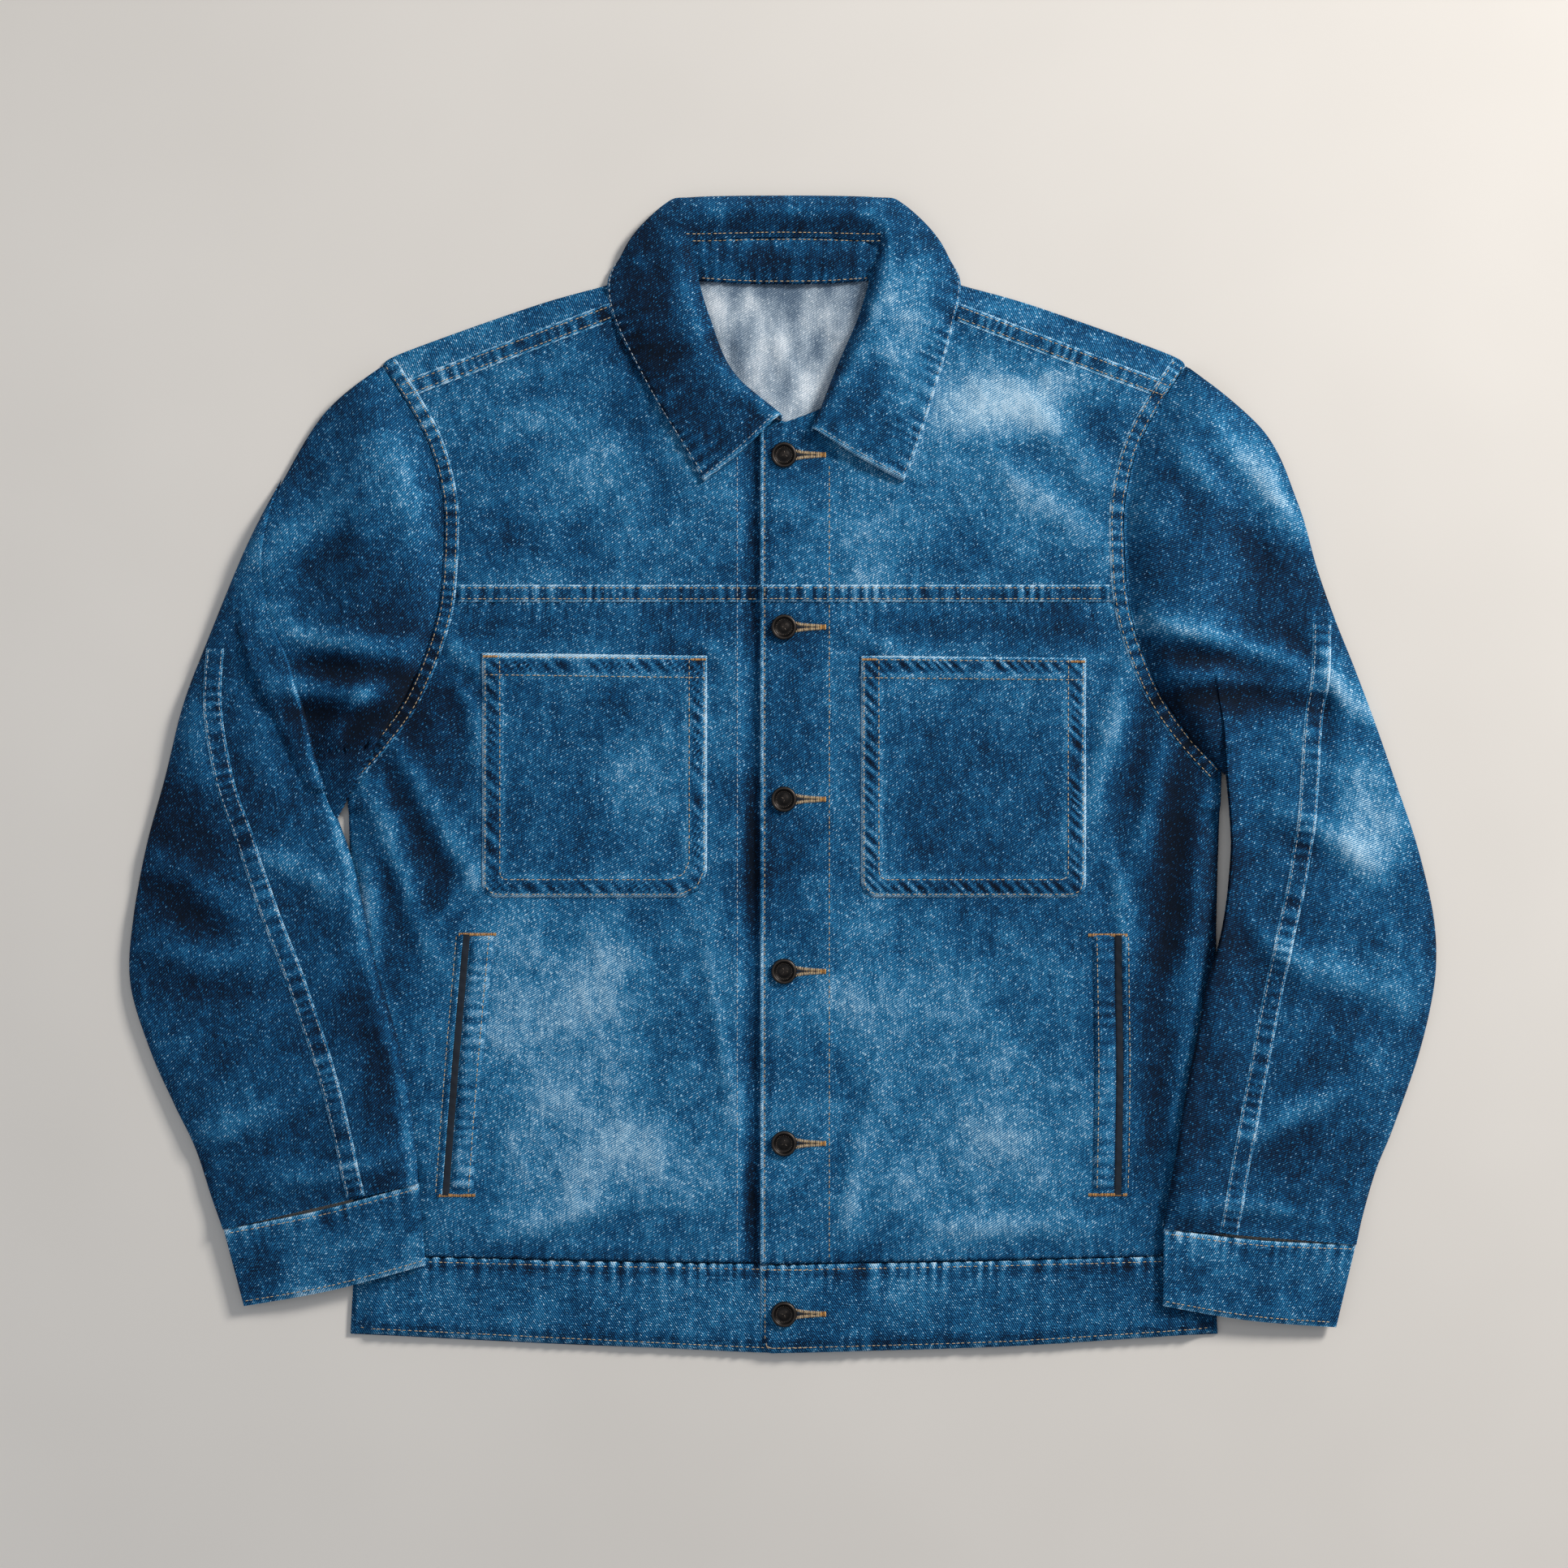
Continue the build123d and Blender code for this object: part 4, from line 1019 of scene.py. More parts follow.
# %% Welts, their dark mouths and the hidden bags
for side, word in SIDES.items():
    low, high = corners(f"{word}_hand_pocket_welt")
    lean = 14.0 if side == RIGHT else 0.0
    top_y, bottom_y = high.y - 2, low.y + 2
    inner_top = side * (half_chest - 88 - 10)
    outer_top = side * (half_chest - 68 - 10)
    if side == LEFT:
        inner_top, outer_top = side * (half_chest - 86), side * (half_chest - 67)
    leg = side * lean

    def line(offset):
        """A line down the welt, an offset outwards from its inner edge."""
        start = inner_top + side * offset
        return curve((start, top_y), (start + leg * 0.45 + side * 1.2, (top_y + bottom_y) / 2), (start + leg, bottom_y))

    wide = abs(outer_top - inner_top)
    # The mouth is a band painted with the shade in the opening.
    ribbon(f"{word}_pocket_mouth", line(wide - 1.5), -2.6, 2.6, ROOT, "denim_front", raised=0.75,
           material=painted_shade_gap, wave=0.0, remember=False, cloth=False)
    inner_line, outer_line = line(0), line(wide - 4.5)
    ends = [straight(inner_line[k].xy[:], outer_line[k].xy[:]) for k in (-1, 0)]

    def welt_height(x, y, s, t):
        away = min(s * wide, (1 - s) * wide)
        return ground(x, y) + 0.7 + 1.9 * smooth(0, 5, away) * smooth(0, 0.05, t) * smooth(0, 0.05, 1 - t)

    bm = panel(patch(ends[0], ends[1], list(reversed(inner_line)), list(reversed(outer_line))),
               welt_height, wide - 4.5, top_y - bottom_y, cell=1.6, gathers=(0, 0, 0.7, 1.0), seed=side * 21.0)
    fade_and_shade = bm.verts.layers.float["fade_and_shade"]
    for v in bm.verts:
        x, y = v.co.x / MM, v.co.y / MM
        # A little paler, with gathers painted in light and shade.
        v[fade_and_shade] += 0.08 + 0.13 * pucker(y, 3.0, side * 23.0)
    piece = finish_piece(bm, f"{word}_welt", indigo, [f"{word}_hand_pocket_welt"], ROOT, solid=DENIM)
    piping_line = line(wide + 2.0)
    ribbon(f"{word}_pocket_piping", piping_line, -1.6, 1.6, ROOT, "denim_front", raised=1.3, tone=0.06, wave=0.1)
    rows_of_stitches(f"{word}_welt_stitches", [line(3.2), line(wide + 5.0)], tan_thread, ROOT)
    bag_low, bag_high = corners(f"{word}_hand_pocket_bag")
    bag = patch(*(straight(a, b) for a, b in (
        ((bag_low.x, bag_low.y), (bag_high.x, bag_low.y)), ((bag_low.x, bag_high.y), (bag_high.x, bag_high.y)),
        ((bag_low.x, bag_low.y), (bag_low.x, bag_high.y)), ((bag_high.x, bag_low.y), (bag_high.x, bag_high.y)))))
    bm = panel(bag, flat_sheet((bag_low.z + bag_high.z) / 2 + 0.3), bag_high.x - bag_low.x,
               bag_high.y - bag_low.y, cell=8, gathers=(0, 0, 0, 0))
    piece = finish_piece(bm, f"{word}_pocket_bag", pocketing, [f"{word}_hand_pocket_bag"], ROOT, solid=0.8,
                         remember=False)
print("pockets done")

# %% [markdown]
# ## The sleeves
# A sleeve is a tube, flattened on the floor. The wearer's right sleeve is folded, so that its forearm lies over
# the upper arm; the left one bends with creases at the elbow. Each tube starts as a grid that is wrapped round:
# one half of its width becomes the top of the sleeve and the other half the underside. It is then divided along
# the felled seam into a top sleeve and an under sleeve, as a cutter would.

# %% The sleeve tube
def sleeve_tube(start, end, inner, outer, rise, loft, seed, start_height, end_height=None, fold_highlight=0.0):
    """A flattened tube. rise(x, y) is the height of its lower side, and loft how much it stands over that. The last
    argument is the strength of the highlight painted along its inner edge."""
    bm = bmesh.new()
    place = patch(start, end, inner, outer)
    length = (len(inner) + len(outer)) / 2
    width = (len(start) + len(end)) / 2
    ring, rows = 2 * max(12, round(width / 2.1)), max(10, round(length / 2.1))
    bmesh.ops.create_grid(bm, x_segments=ring, y_segments=rows, size=0.5)
    fade_and_shade = bm.verts.layers.float.new("fade_and_shade")
    top = bm.verts.layers.float.new("top")
    uv = bm.loops.layers.uv.new("cloth")
    for v in bm.verts:
        turn, t = (v.co.x + 0.5) * 2 * pi, v.co.y + 0.5
        s = (1 - cos(turn)) / 2
        p = place(s, t)
        upper = sin(turn)
        full = abs(upper) ** 0.62
        along = t * length
        low = rise(p.x, p.y)
        edge = low + 2.2
        lift = relief(p.x, p.y, "sleeve")
        sewn = pucker(s * width, (1 - t) * length, seed, reach=13, pitch=10)
        if upper >= 0:
            z = edge + loft * full + lift * min(1.0, full * 1.3) + 0.9 * sewn * full
            z = z + (start_height(p.x, p.y) - z) * exp(-(along / 13.0) ** 1.5)
            if end_height:
                z = z + (end_height(s) - z) * exp(-((1 - t) * length / 9.0) ** 1.5)
        else:
            z = max(edge - 1.8 * full, low + 0.3)
        v.co = Vector((p.x, p.y, max(z, z_floor))) * MM
        v[top] = upper
        # Darker where the tube turns down at its sides; gathers at the cuff seam paler on their crests and darker in
        # their troughs, as wear and painted light and shade.
        v[fade_and_shade] = fade_and_shade_at(p.x, p.y, lift) - 0.08 + 0.10 * sewn - 0.10 * (1 - full)
        # Painted highlight along the inner fold edge.
        v[fade_and_shade] += fold_highlight * exp(-((s * width - 3.0) / 3.0) ** 2) * smooth(0.02, 0.12, t)
    bmesh.ops.remove_doubles(bm, verts=bm.verts[:], dist=1e-7)
    bm.normal_update()
    upward = sum(f.normal.z for f in bm.faces if all(v[top] > 0.2 for v in f.verts))
    if upward < 0:
        bmesh.ops.reverse_faces(bm, faces=bm.faces[:])
    lay_grain(bm, uv)
    return bm


def turned_grain(bm, degrees):
    """Turns a piece's UV map, so that its warp runs down the sleeve."""
    uv = bm.loops.layers.uv["cloth"]
    turn = Matrix.Rotation(radians(degrees), 2)
    for face in bm.faces:
        for loop in face.loops:
            loop[uv].uv = turn @ loop[uv].uv


def split_sleeve(bm, seam, side):
    """Divides a tube along its seam: the outer part of its top, and everything else."""
    def outside(face, layer):
        middle = face.calc_center_median() / MM
        if sum(v[layer] for v in face.verts) < 0:
            return False
        i = min(range(0, len(seam), 4), key=lambda k: (seam[k].xy - middle.xy).length_squared)
        a, b = seam[max(i - 3, 0)], seam[min(i + 3, len(seam) - 1)]
        return ((b - a).x * (middle - a).y - (b - a).y * (middle - a).x) * side > 0

    parts = []
    for keep in (True, False):
        half = bm.copy()
        layer = half.verts.layers.float["top"]
        drop = [f for f in half.faces if outside(f, layer) != keep]
        bmesh.ops.delete(half, geom=drop, context="FACES")
        parts.append(half)
    remember_surface(bm)
    bm.free()
    return parts


def sewn_height(x, y):
    """Where a sleeve is sewn in, it starts just under the body's edge."""
    return body_height(x, y) + 0.4


# %% [markdown]
# ### Where each sleeve lies
# The corners come from the CAD sleeves and cuffs. The lower side of a sleeve follows what it lies on: the body
# where it crosses it, and the floor beyond.

# %% Sleeve outlines
CUFF = {RIGHT: ((-241.5, -270), (-371.5, -301), (-358, -352), (-237, -324)),
        LEFT: ((251, -300), (379, -311), (366, -366), (250.5, -351))}
SILHOUETTE = {
    RIGHT: [(305, 241), (334, 196), (357, 151), (384, 86), (399, 46), (411, -2), (423, -46), (432, -95),
            (434, -138), (421, -182), (405, -218), (391, -247), (379, -283), (371.5, -301)],
    LEFT: [(318, 229), (341, 181), (354, 137), (366, 103), (378, 73), (393, 33), (408, -10), (421, -49),
           (431, -92), (433, -125), (429, -155), (420, -190), (404, -235), (392, -265), (379, -311)]}
FOLD = {
    RIGHT: [(353, 120), (330, 81), (318, 43), (309, 7), (297, -26), (285, -60), (276, -100), (268, -134),
            (256, -174), (248, -211), (241.5, -270)],
    LEFT: [(290, 1), (299, 0), (309, 6), (321, 4), (323, -10), (319, -32), (312, -52), (305, -78), (296, -98),
           (282, -132), (274, -170), (266, -210), (259, -252), (251, -300)]}
SEAM = {
    RIGHT: [(376.5, 84), (378, 45), (370, -3), (357, -41), (340, -91), (325, -130), (314, -162), (302, -198),
            (291, -241), (283, -279)],
    LEFT: [(356.5, 101), (355, 67), (350, 30), (346, -27), (339, -73), (330, -113), (319, -167), (309, -220),
           (301, -263), (294, -303)]}


def lies_on(x, y):
    """Height of what a sleeve lies on: the body, and past its side the floor, with a gentle slope between."""
    on_body = 1 - smooth(half_chest - 16, half_chest + 26, abs(x))
    body_x = min(abs(x), half_chest - 12) * (1 if x > 0 else -1)
    return 0.3 + on_body * (ground(body_x, y, 8.0) if abs(x) < half_chest + 26 else 8.0)


def cuff_top(s):
    """Height of the cloth where a sleeve meets its cuff."""
    return 15.2 - 5.5 * s


print("outlines done")

# %% Left sleeve, one bent tube
hole = list(reversed(armhole(LEFT)))
tip = shoulder_corner[LEFT]
start_line = joined(hole, [hole[-1].lerp(tip, 0.99)])
inner = curve(*on(LEFT, *FOLD[LEFT]))
outer = joined([tip], curve(tip[:], *on(LEFT, *SILHOUETTE[LEFT])))
inner[0] = start_line[0].copy()
outer[0] = start_line[-1].copy()
end_line = straight(CUFF[LEFT][0], CUFF[LEFT][1])
bm = sleeve_tube(start_line, end_line, inner, outer, lies_on, 9.5, 31.0, sewn_height, cuff_top)
turned_grain(bm, 12)
left_seam = curve(*on(LEFT, *SEAM[LEFT]))
outer_half, inner_half = split_sleeve(bm, left_seam, LEFT)


def sleeve_piece(bm, name, nodes, side):
    """Hands one part of a sleeve to the frame; its surface is remembered with the whole tube."""
    piece = finish_piece(bm, name, indigo, nodes, side, remember=False)
    return piece


sleeve_piece(outer_half, "left_top_sleeve_cloth", ["left_top_sleeve"], LEFT)
sleeve_piece(inner_half, "left_under_sleeve_cloth", ["left_under_sleeve", "left_sleeve_head"], LEFT)

# %% Right sleeve, an upper arm with the forearm folded over it
hole = list(reversed(armhole(RIGHT)))
tip = shoulder_corner[RIGHT]
start_line = joined(hole, [hole[-1].lerp(tip, 0.99)])
head_inner = curve(start_line[0][:], *on(RIGHT, (293, -22), (302, -30), (320, -2), (337, 38)))
head_outer = curve(start_line[-1][:], *on(RIGHT, (305, 240), (333, 195), (350, 161), (363, 134)))
head_end = curve(head_inner[-1][:], *on(RIGHT, (356, 84)), head_outer[-1][:])
bm = sleeve_tube(start_line, head_end, head_inner, head_outer, lies_on, 8.0, 37.0, sewn_height)
turned_grain(bm, -12)
remember_surface(bm)
sleeve_piece(bm, "right_upper_arm", ["right_sleeve_head"], RIGHT)

inner = curve(*on(RIGHT, *FOLD[RIGHT]))
outer = curve(*on(RIGHT, *SILHOUETTE[RIGHT][1:]))
start_line = curve(inner[0][:], *on(RIGHT, (345, 158)), outer[0][:])
end_line = straight(CUFF[RIGHT][0], CUFF[RIGHT][1])


def over_upper_arm(x, y):
    """The forearm lies on the upper arm near the fold, and on the body and the floor below it."""
    return lies_on(x, y) * 0.8


def flush_with_arm(x, y):
    """At the top of the fold, the forearm runs into the upper arm with no step."""
    return ground(x, y, 3.0) + 0.15


bm = sleeve_tube(start_line, end_line, inner, outer, over_upper_arm, 11.0, 41.0, flush_with_arm,
                 cuff_top, fold_highlight=0.30)
top = bm.verts.layers.float["top"]
for v in bm.verts:
    if v[top] > -0.05 and v.co.y / MM > -10:
        v.co.z = max(v.co.z, (ground(v.co.x / MM, v.co.y / MM, 0.0) + 0.15 + 8.0 * (1 - smooth(60, 150, v.co.y / MM))
                              * max(v[top], 0.0) ** 0.4) * MM)
turned_grain(bm, -10)
right_seam = curve(*on(RIGHT, *SEAM[RIGHT]))
outer_half, inner_half = split_sleeve(bm, right_seam, RIGHT)
sleeve_piece(outer_half, "right_top_sleeve_cloth", ["right_top_sleeve"], RIGHT)
sleeve_piece(inner_half, "right_under_sleeve_cloth", ["right_under_sleeve"], RIGHT)

for side, word in SIDES.items():
    seam = {LEFT: left_seam, RIGHT: right_seam}[side]
    ribbon(f"{word}_sleeve_seam", seam, -6.2, 6.2, side, "denim_sleeve", raised=1.1, group="sleeve", tone=0.02,
           wave=0.22)
    rows_of_stitches(f"{word}_sleeve_stitches", [beside(seam, -4.6), beside(seam, 4.6)], pale_thread, side)
print("sleeves done")

# %% [markdown]
# ## The cuffs
# A cuff is a doubled band like the waistband. It is closed, so it makes a flat ring, and its lower edge is a fold.

# %% Cuffs
for side, word in SIDES.items():
    inner_top, outer_top, outer_low, inner_low = [Vector((*p, 0)) for p in CUFF[side]]
    bow = Vector((0, -2.5, 0))
    upper_edge = curve(inner_top[:], ((inner_top + outer_top) / 2 + bow)[:], outer_top[:])
    lower_edge = curve(inner_low[:], ((inner_low + outer_low) / 2 + bow)[:], outer_low[:])
    place = patch(lower_edge, upper_edge, straight(inner_low.xy[:], inner_top.xy[:]),
                  straight(outer_low.xy[:], outer_top.xy[:]))
    bm = bmesh.new()
    bmesh.ops.create_grid(bm, x_segments=136, y_segments=27, size=0.5)
    fade_and_shade, uv = bm.verts.layers.float.new("fade_and_shade"), bm.loops.layers.uv.new("cloth")
    for v in bm.verts:
        turn, t = (v.co.x + 0.5) * 2 * pi, v.co.y + 0.5
        s = (1 - cos(turn)) / 2
        p = place(s, t)
        level = 9.3 - 5.6 * s
        up = sin(turn)
        full = abs(up) ** 0.45
        lift = relief(p.x, p.y * 1.8, "sleeve")
        gather = pucker(s * 131, (1 - t) * 53, side * 27.0) + 0.5 * pucker(s * 131, t * 53, side * 29.0, reach=4)
        z = level + 3.0 + (3.2 * full * (1 - 0.5 * smooth(0.94, 1, t) - 0.5 * smooth(0.06, 0, t)) + 0.5 * lift * full
                           + 0.85 * gather * full if up >= 0 else -2.4 * full)
        v.co = Vector((p.x, p.y, max(z, 0.5))) * MM
        edges = 0.30 * exp(-t * 53 / 2) + 0.42 * exp(-(1 - t) * 53 / 2)
        # Gathers and creases paler on their crests and darker in their troughs, as wear and painted light and shade;
        # the pale edges are wear.
        v[fade_and_shade] = fade_and_shade_at(p.x, p.y, 1.6 * lift) - 0.09 + 0.36 * gather + edges
    bmesh.ops.remove_doubles(bm, verts=bm.verts[:], dist=1e-7)
    bm.normal_update()
    bmesh.ops.recalc_face_normals(bm, faces=bm.faces[:])
    if sum(f.normal.z for f in bm.faces if f.calc_center_median().z > 0.012) < 0:
        bmesh.ops.reverse_faces(bm, faces=bm.faces[:])
    lay_grain(bm, uv, Matrix(((0, 1), (1, 0))))
    piece = finish_piece(bm, f"{word}_cuff_cloth", indigo, [f"{word}_cuff"], f"{word}_forearm")
    rows_of_stitches(f"{word}_cuff_stitches", [beside(upper_edge, -3.0 * side), beside(lower_edge, 3.4 * side)],
                     tan_thread, f"{word}_forearm")

# %% [markdown]
# ## The collar
# The collar is a stand, which is a band up the neck, and a leaf, which turns down over it. Laid on its back, the
# leaf rolls over behind the neck and its two wings lie on the fronts. The leaf is one sheet with a cross-section
# that is followed round the neck: from its seam up to the roll, over it, and down to the free edge.

# %% Collar
TIP = {RIGHT: (53, 194), LEFT: (79, 194)}
LEAF_END = {RIGHT: (1, 236), LEFT: (18, 227)}
seam_half = {s: on(s, LEAF_END[s], (34, 268), (49, 303), (57, 330), (61, 350)) for s in SIDES}
roll_half = {s: on(s, (LEAF_END[s][0] + 3, LEAF_END[s][1] + 1), (45, 270), (60, 304), (68, 334), (70, 360))
             for s in SIDES}
edge_half = {s: on(s, TIP[s], (88, 216) if s == LEFT else (66, 216), (104 if s == LEFT else 96, 268),
                   (113, 302), (117, 328), (104, 350), (84, 368)) for s in SIDES}
mid_half = {s: on(s, ((TIP[s][0] + LEAF_END[s][0]) / 2, (TIP[s][1] + LEAF_END[s][1]) / 2), (72, 246), (86, 290),
                  (97, 330), (100, 354), (78, 379)) for s in SIDES}


def round_neck(halves, back):
    """A path from the right wing round the back of the neck to the left wing."""
    return curve(*halves[RIGHT], *back, *reversed(halves[LEFT]))


seam_path = round_neck(seam_half, [(-40, 355), (0, 356), (40, 355)])
roll_path = round_neck(roll_half, [(-52, 372), (0, 374), (52, 372)])
mid_path = round_neck(mid_half, [(-60, 383), (0, 384), (60, 383)])
edge_path = round_neck(edge_half, [(-52, 371), (0, 372), (52, 371)])


def leaf_point(s, t, drop=0.0):
    """A place on the leaf: s goes round the neck, and t from the seam to the free edge."""
    points = [spot(path, s) for path in (seam_path, roll_path, mid_path, edge_path)]
    behind = smooth(300, 352, points[1].y)  # 0 on the wings and 1 behind the neck
    rests = ground(points[3].x, points[3].y, 3.0) if behind < 0.5 else 1.0
    edge_height = max(rests + 3.2, 10.0) * (1 - behind) + 1.8 * behind
    heights = (8.5 + behind, 17.5 - 3.0 * behind, 16.0 - 8.0 * behind, edge_height)
    knots = [Vector((p.x, p.y, z)) for p, z in zip(points, heights)]
    place = min(t, 0.99999) * 3
    i, f = int(place), place - int(place)
    before, after = knots[max(i - 1, 0)], knots[min(i + 2, 3)]
    leave, arrive = (knots[i + 1] - before) / 2, (after - knots[i]) / 2
    p = (knots[i] * (2 * f ** 3 - 3 * f ** 2 + 1) + leave * (f ** 3 - 2 * f ** 2 + f)
         + knots[i + 1] * (3 * f ** 2 - 2 * f ** 3) + arrive * (f ** 3 - f ** 2))
    return p - Vector((0, 0, drop)), behind


def leaf_mesh(drop, seed, across=46, rows=330):
    """The mesh of one layer of the leaf."""
    bm = bmesh.new()
    bmesh.ops.create_grid(bm, x_segments=rows, y_segments=across, size=0.5)
    fade_and_shade, uv = bm.verts.layers.float.new("fade_and_shade"), bm.loops.layers.uv.new("cloth")
    for v in bm.verts:
        s, t = v.co.x + 0.5, v.co.y + 0.5
        t = t * 0.85 + 0.15 * t * t
        p, behind = leaf_point(s, t, drop)
        length, depth = 640.0, 68.0
        along_edge = s * length
        away = min((1 - t) * depth, s * length * 0.6, (1 - s) * length * 0.6)
        edge_pull = pucker(along_edge, (1 - t) * depth, seed, reach=11, pitch=9.5) * (1 - behind)
        end_pull = pucker(t * depth, min(s, 1 - s) * length, seed + 2, reach=9)
        wave = (noise.noise(Vector((p.x / 17, p.y / 17, seed))) * 0.9
                + noise.noise(Vector((p.x / 8, p.y / 30, seed))) * 0.35)
        lift = wave * smooth(0, 8, away) + 0.75 * edge_pull + 0.4 * end_pull
        p.z += lift * (0.35 + 0.65 * (1 - behind)) - 0.9 * exp(-away / 2.5)
        v.co = Vector((p.x, p.y, max(p.z, 1.3))) * MM
        # The pale edges are wear. Waves and gathers are paler on their crests, as wear and painted light; a painted
        # highlight runs along the crest of the roll, and painted shade lies in the fold between the seam and the roll.
        v[fade_and_shade] = (fade_and_shade_at(p.x, p.y) - 0.13 + 0.17 * lift + 0.28 * edge_pull + 0.46 * exp(-(away / 2.0) ** 1.5)
                   + 0.10 * exp(-((t - 0.34) / 0.06) ** 2) - 0.10 * exp(-((t - 0.12) / 0.12) ** 2))
    bm.normal_update()
    face_up(bm)
    lay_grain(bm, uv)
    return bm


piece = finish_piece(leaf_mesh(1.5, 33.0, across=20, rows=160), "under_collar_cloth", indigo, ["under_collar"], ROOT,
                     solid=DENIM)
piece = finish_piece(leaf_mesh(0.0, 33.0), "collar_leaf", indigo, ["top_collar"], ROOT, solid=DENIM)

count = 560
ring = [leaf_point(k / count, 1 - 2.6 / 68)[0] for k in range(count + 1)]
wing = [p for p in ring if p.y < 345]
right_wing = even([Vector((p.x, p.y, 0)) for p in wing if p.x < -30])
left_wing = even([Vector((p.x, p.y, 0)) for p in wing if p.x > 30])
ends = [even([Vector((*leaf_point(share, k / 30)[0].xy, 0)) for k in range(6, 30)]) for share in (0.006, 0.994)]
rows_of_stitches("collar_stitches", [right_wing, left_wing, *ends], pale_thread, ROOT)

# %% The stand, inside the neck
stand_low = curve((-60, 328), (-30, 326), (0, 325.5), (30, 326), (60, 328))
stand_high = curve((-66, 356), (-30, 357), (0, 357.5), (30, 357), (66, 356))


def stand_height(x, y, s, t):
    """The band curves up from the back yoke to the leaf's seam."""
    return 6.4 + 2.6 * t + 1.3 * sin(t * pi) + 0.5 * relief(x * 2, y * 2, "body")


bm = panel(patch(stand_low, stand_high, straight((-60, 328), (-66, 356)), straight((60, 328), (66, 356))),
           stand_height, 126, 30, cell=1.7, gathers=(1.3, 1.5, 0, 0), seed=43.0, tone=-0.04)
piece = finish_piece(bm, "stand_cloth", indigo, ["collar_stand"], ROOT, solid=1.2)
rows_of_stitches("stand_stitches", [beside(stand_low, 2.0), beside(stand_high, -2.6), beside(stand_high, 1.8)],
                 tan_thread, ROOT)

# %% [markdown]
# ## Buttonholes and bartacks
# A jacket buttonhole has a round end for the shank, and close threads over its edge. Bartacks are the same close
# threads, over places that are pulled hard.

# %% Buttonholes and bartacks
threads, ends, slits = [], [], []
for b in buttons:
    run = straight((b.x + 8, b.y), (b.x + 25.5, b.y))
    slits.append(run)
    spread = curve((b.x + 7, b.y + 2.6), (b.x + 14, b.y + 1.5), (b.x + 24, b.y + 0.8))
    threads.append((spread, 2.6))
    threads.append((curve((b.x + 7, b.y - 2.6), (b.x + 14, b.y - 1.5), (b.x + 24, b.y - 0.8)), 2.6))
    ends.append((straight((b.x + 24, b.y), (b.x + 27.5, b.y)), 4.2))
bm = tack(threads, thick=0.5)
finish_piece(bm, "buttonhole_threads", tan_thread, (), ROOT, remember=False)
bm = tack(ends)
finish_piece(bm, "buttonhole_ends", orange_thread, (), ROOT, remember=False)
# Each slit is a band painted with the shade in the opening.
for k, run in enumerate(slits):
    ribbon(f"buttonhole_slit_{k + 1}", run, -0.8, 0.8, ROOT, "denim_front", raised=0.3, material=painted_shade_gap, wave=0,
           remember=False, cloth=False)

bars = []
for side, word in SIDES.items():
    low, high = corners(f"{word}_hand_pocket_welt")
    lean = 14.0 if side == RIGHT else 0.0
    inner_x, outer_x = (half_chest - 98, half_chest - 78) if side == RIGHT else (half_chest - 87, half_chest - 66)
    for y, move in ((high.y - 2, 0), (low.y + 2, lean)):
        bars.append((straight((side * (inner_x + move - 1), y), (side * (outer_x + move + 3), y)), 2.6))
    low, high = corners(f"{word}_chest_pocket")
    tilt = 2.0 if side == RIGHT else -1.5
    inner_x, outer_x = (high.x, low.x) if side == RIGHT else (low.x, high.x)
    bars.append((straight((inner_x - 10 if side == RIGHT else inner_x + 1, high.y - 2.4),
                          (inner_x - 1 if side == RIGHT else inner_x + 10, high.y - 2.4)), 2.0))
    bars.append((straight((outer_x + 1 if side == RIGHT else outer_x - 10, high.y - 2.4 + tilt),
                          (outer_x + 10 if side == RIGHT else outer_x - 1, high.y - 2.4 + tilt)), 2.0))
finish_piece(tack(bars), "bartack_threads", orange_thread, ["bartacks"], ROOT, remember=False)

# %% [markdown]
# ## The buttons
# A tack button's cap is a shell, cast with a raised rim, a ring of small beads and a domed middle. Its plating is
# dark and worn on the high edges. The cap turns on its shank, so each one rides on its own body.

# %% Buttons
def metal_material(name, dark, worn, roughness):
    """Plated metal: dark in the hollows, rubbed bright where the surface stands out."""
    material, n, shader = new_material(name)
    place = n.add("ShaderNodeTexCoord").outputs["Object"]
    scratches = n.noise(place, 1400, 3.0, 0.7)
    patches = n.noise(place, 260, 2.0, 0.5)
    edges = n.math("MULTIPLY", n.math("SUBTRACT", n.add("ShaderNodeNewGeometry").outputs["Pointiness"], 0.5), 9.0)
    rubbed = n.math("ADD", n.math("MAXIMUM", edges, 0.0), n.math("MULTIPLY", n.math("SUBTRACT", patches, 0.45), 0.5))
    n.link(n.ramp(rubbed, [(0.05, dark), (0.9, worn)]), shader.inputs["Base Color"])
    n.link(n.math("ADD", roughness, n.math("MULTIPLY", scratches, 0.2)), shader.inputs["Roughness"])
    shader.inputs["Metallic"].default_value = 0.85
    n.bump(scratches, 0.25, 0.00005, shader)
    return material


gunmetal = metal_material("gunmetal", (0.011, 0.010, 0.010), (0.085, 0.070, 0.060), 0.30)
brass = metal_material("worn_brass", (0.36, 0.22, 0.07), (0.62, 0.45, 0.20), 0.30)
aluminium = metal_material("nail_metal", (0.45, 0.46, 0.48), (0.75, 0.76, 0.78), 0.35)
insert_plastic = plain_material("insert_plastic_finish", (0.10, 0.10, 0.11), (0.14, 0.14, 0.15), 700, 0.5, 0.0)

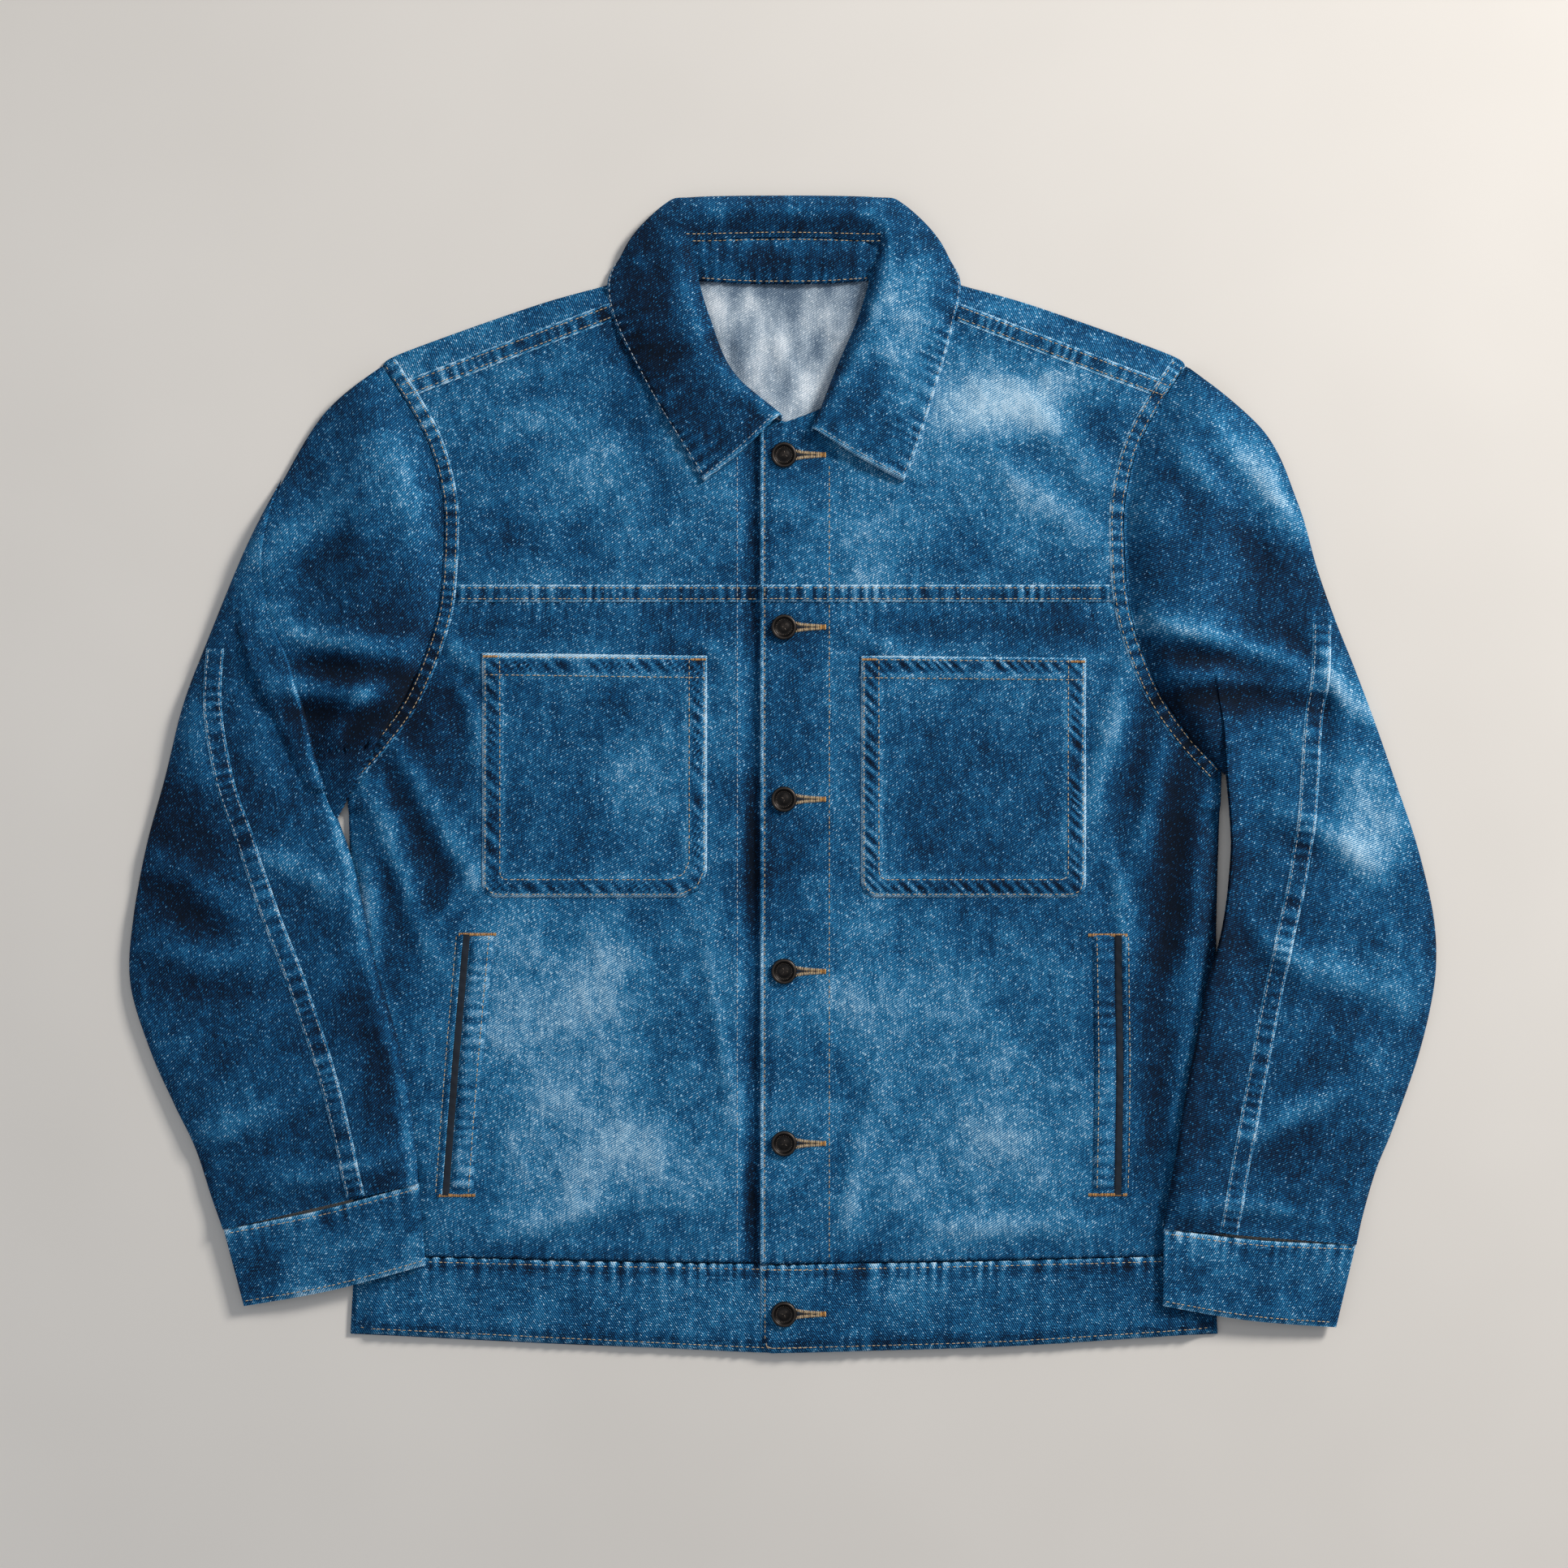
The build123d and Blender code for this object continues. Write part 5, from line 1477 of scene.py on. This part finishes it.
for n, centre in enumerate(buttons, 1):
    low, high = corners(f"button_cap_{n}")
    radius, foot, top = (high.x - low.x) / 2, low.z, high.z
    profile = [(0.0, top - 0.75), (1.6, top - 0.80), (3.0, top - 1.10), (3.9, top - 1.45), (4.5, top - 1.50),
               (5.6, top - 1.35), (6.3, top - 0.75), (6.7, top - 0.18), (7.1, top), (7.6, top - 0.05),
               (8.05, top - 0.40), (8.4, top - 1.00), (radius, top - 1.60), (radius, foot + 0.35),
               (radius - 0.3, foot), (radius - 0.9, foot), (radius - 1.1, foot + 0.3)]
    bm = bmesh.new()
    ring = [bm.verts.new((r * MM, 0, z * MM)) for r, z in profile]
    lines = [bm.edges.new(pair) for pair in zip(ring, ring[1:])]
    bmesh.ops.spin(bm, geom=ring + lines, axis=(0, 0, 1), cent=(0, 0, 0), steps=64, angle=2 * pi, use_merge=True)
    bmesh.ops.remove_doubles(bm, verts=bm.verts[:], dist=1e-6)
    bmesh.ops.recalc_face_normals(bm, faces=bm.faces[:])
    for k in range(28):
        turn = 2 * pi * k / 28
        spot_at = Matrix.Translation(Vector((5.15 * cos(turn), 5.15 * sin(turn), top - 1.32)) * MM)
        bmesh.ops.create_uvsphere(bm, u_segments=8, v_segments=5, radius=0.34 * MM, matrix=spot_at)
    for k in range(3):
        turn = 2 * pi * (k / 3 + n / 7)
        leaf = Matrix.Translation(Vector((1.5 * cos(turn), 1.5 * sin(turn), top - 0.80)) * MM)
        leaf = leaf @ Matrix.Rotation(turn, 4, "Z") @ Matrix.Diagonal((2.2 * MM, 0.9 * MM, 0.5 * MM, 1))
        bmesh.ops.create_uvsphere(bm, u_segments=10, v_segments=6, radius=0.5, matrix=leaf)
    bmesh.ops.rotate(bm, verts=bm.verts[:], cent=(0, 0, 0), matrix=Matrix.Rotation(radians(37 * n), 3, "Z"))
    bmesh.ops.translate(bm, verts=bm.verts[:], vec=Vector((centre.x, centre.y, 0)) * MM)
    finish_piece(bm, f"cast_cap_{n}", gunmetal, [f"button_cap_{n}"], f"button_{n}", remember=False)

# %% The CAD pieces that keep their shape
finishes = {"button_back_plate": gunmetal, "button_shanks": brass, "button_inserts": insert_plastic,
            "button_nails": aluminium}
for name, node in frame["nodes"].items():
    for start, material in finishes.items():
        if name.startswith(start):
            node.data.materials.clear()
            node.data.materials.append(material)
